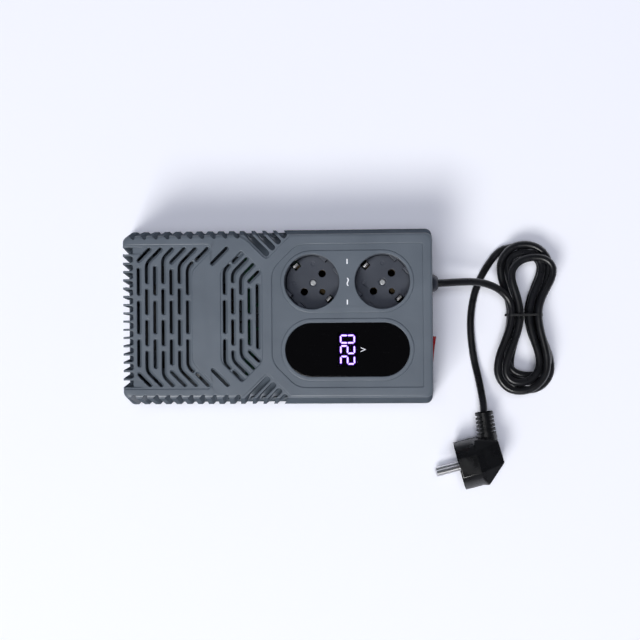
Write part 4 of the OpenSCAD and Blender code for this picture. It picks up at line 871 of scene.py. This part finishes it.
def sees_backdrop(tree):
    """What looks at the backdrop itself, as two values of 1 or 0: the camera, and what mirrors or lets
    through the backdrop, such as metal and glass."""
    path = add(tree, "ShaderNodeLightPath").outputs
    mirrored = add(tree, "ShaderNodeMath", [(0, path["Is Glossy Ray"]), (1, path["Is Transmission Ray"])],
                   operation="MAXIMUM").outputs["Value"]
    return path["Is Camera Ray"], mirrored


def studio_paper():
    """Matt white paper. Far from the object it is lost in the pale air of the studio."""
    paper, tree, shader, place = new_material("white_studio_paper")
    tree.links.new(varied(tree, place, 0.86, 0.94, 3), shader.inputs["Roughness"])
    shader.inputs["Base Color"].default_value = colour("#F4F5FA")
    distance = add(tree, "ShaderNodeVectorMath", [(0, place)], operation="LENGTH").outputs["Value"]
    far = add(tree, "ShaderNodeMapRange", [("Value", distance)], From_Min=FLOOR_NEAR,
              From_Max=FLOOR_FAR, interpolation_type="SMOOTHSTEP").outputs["Result"]
    camera_ray, mirrored = sees_backdrop(tree)
    seen = add(tree, "ShaderNodeMath", [(0, camera_ray), (1, mirrored)],
               operation="MAXIMUM").outputs["Value"]
    share = add(tree, "ShaderNodeMath", [(0, far), (1, seen)], operation="MULTIPLY").outputs["Value"]
    air = add(tree, "ShaderNodeEmission", Color=colour(AIR), Strength=1.0)
    blend = add(tree, "ShaderNodeMixShader", [("Fac", share), (1, shader.outputs["BSDF"]),
                                              (2, air.outputs["Emission"])])
    tree.links.new(blend.outputs["Shader"], tree.nodes["Material Output"].inputs["Surface"])
    return paper


floor.data.materials.append(studio_paper())

world = bpy.data.worlds.new("studio")
bpy.context.scene.world = world
world.use_nodes = True
room = world.node_tree
direction = add(room, "ShaderNodeTexCoord").outputs["Generated"]
height = add(room, "ShaderNodeSeparateXYZ", [("Vector", direction)]).outputs["Z"]
# Pale walls all round and a dark ceiling: the ceiling is what the black window mirrors. What looks at the
# backdrop sees it at full strength, but a mirror image only low down, where the floor ends.
walls = add(room, "ShaderNodeMapRange", [("Value", height)], From_Min=0.25, From_Max=0.8,
            To_Min=WALL_LIGHT, To_Max=CEILING_LIGHT).outputs["Result"]
horizon = add(room, "ShaderNodeMath", [(0, height)], operation="LESS_THAN")
horizon.inputs[1].default_value = 0.1
camera_ray, mirrored = sees_backdrop(room)
low_mirrored = add(room, "ShaderNodeMath", [(0, mirrored), (1, horizon.outputs["Value"])],
                   operation="MULTIPLY").outputs["Value"]
seen = add(room, "ShaderNodeMath", [(0, low_mirrored), (1, camera_ray)],
           operation="MAXIMUM").outputs["Value"]
level = add(room, "ShaderNodeMix", [("Factor", seen), ("A", walls)])
level.inputs["B"].default_value = 1.0
room.nodes["Background"].inputs["Color"].default_value = colour(AIR)
room.links.new(level.outputs["Result"], room.nodes["Background"].inputs["Strength"])


def softbox(name, place, aim, size, power, tone="#FFFFFF"):
    """An area lamp at place that shines at aim, of this width and height in metres."""
    light = bpy.data.objects.new(name, bpy.data.lights.new(name, "AREA"))
    bpy.context.collection.objects.link(light)
    light.data.shape = "RECTANGLE"
    light.data.size, light.data.size_y = size
    light.data.energy = power
    light.data.color = colour(tone)[:3]
    light.location = place
    light.rotation_euler = (Vector(aim) - Vector(place)).to_track_quat("-Z", "Y").to_euler()
    return light


softbox("key", place=(-1.2, -2.4, 4.2), aim=(0.05, 0, 0.03), size=(1.9, 2.0), power=163)
# The overhead light fills the shadows. It stays out of the window's reflection.
overhead = softbox("overhead", place=(0.08, 0.05, 4.2), aim=(0.08, 0.02, 0), size=(1.6, 1.6), power=88,
                   tone="#EEF1FF")
overhead.visible_glossy = False
overhead.visible_transmission = False
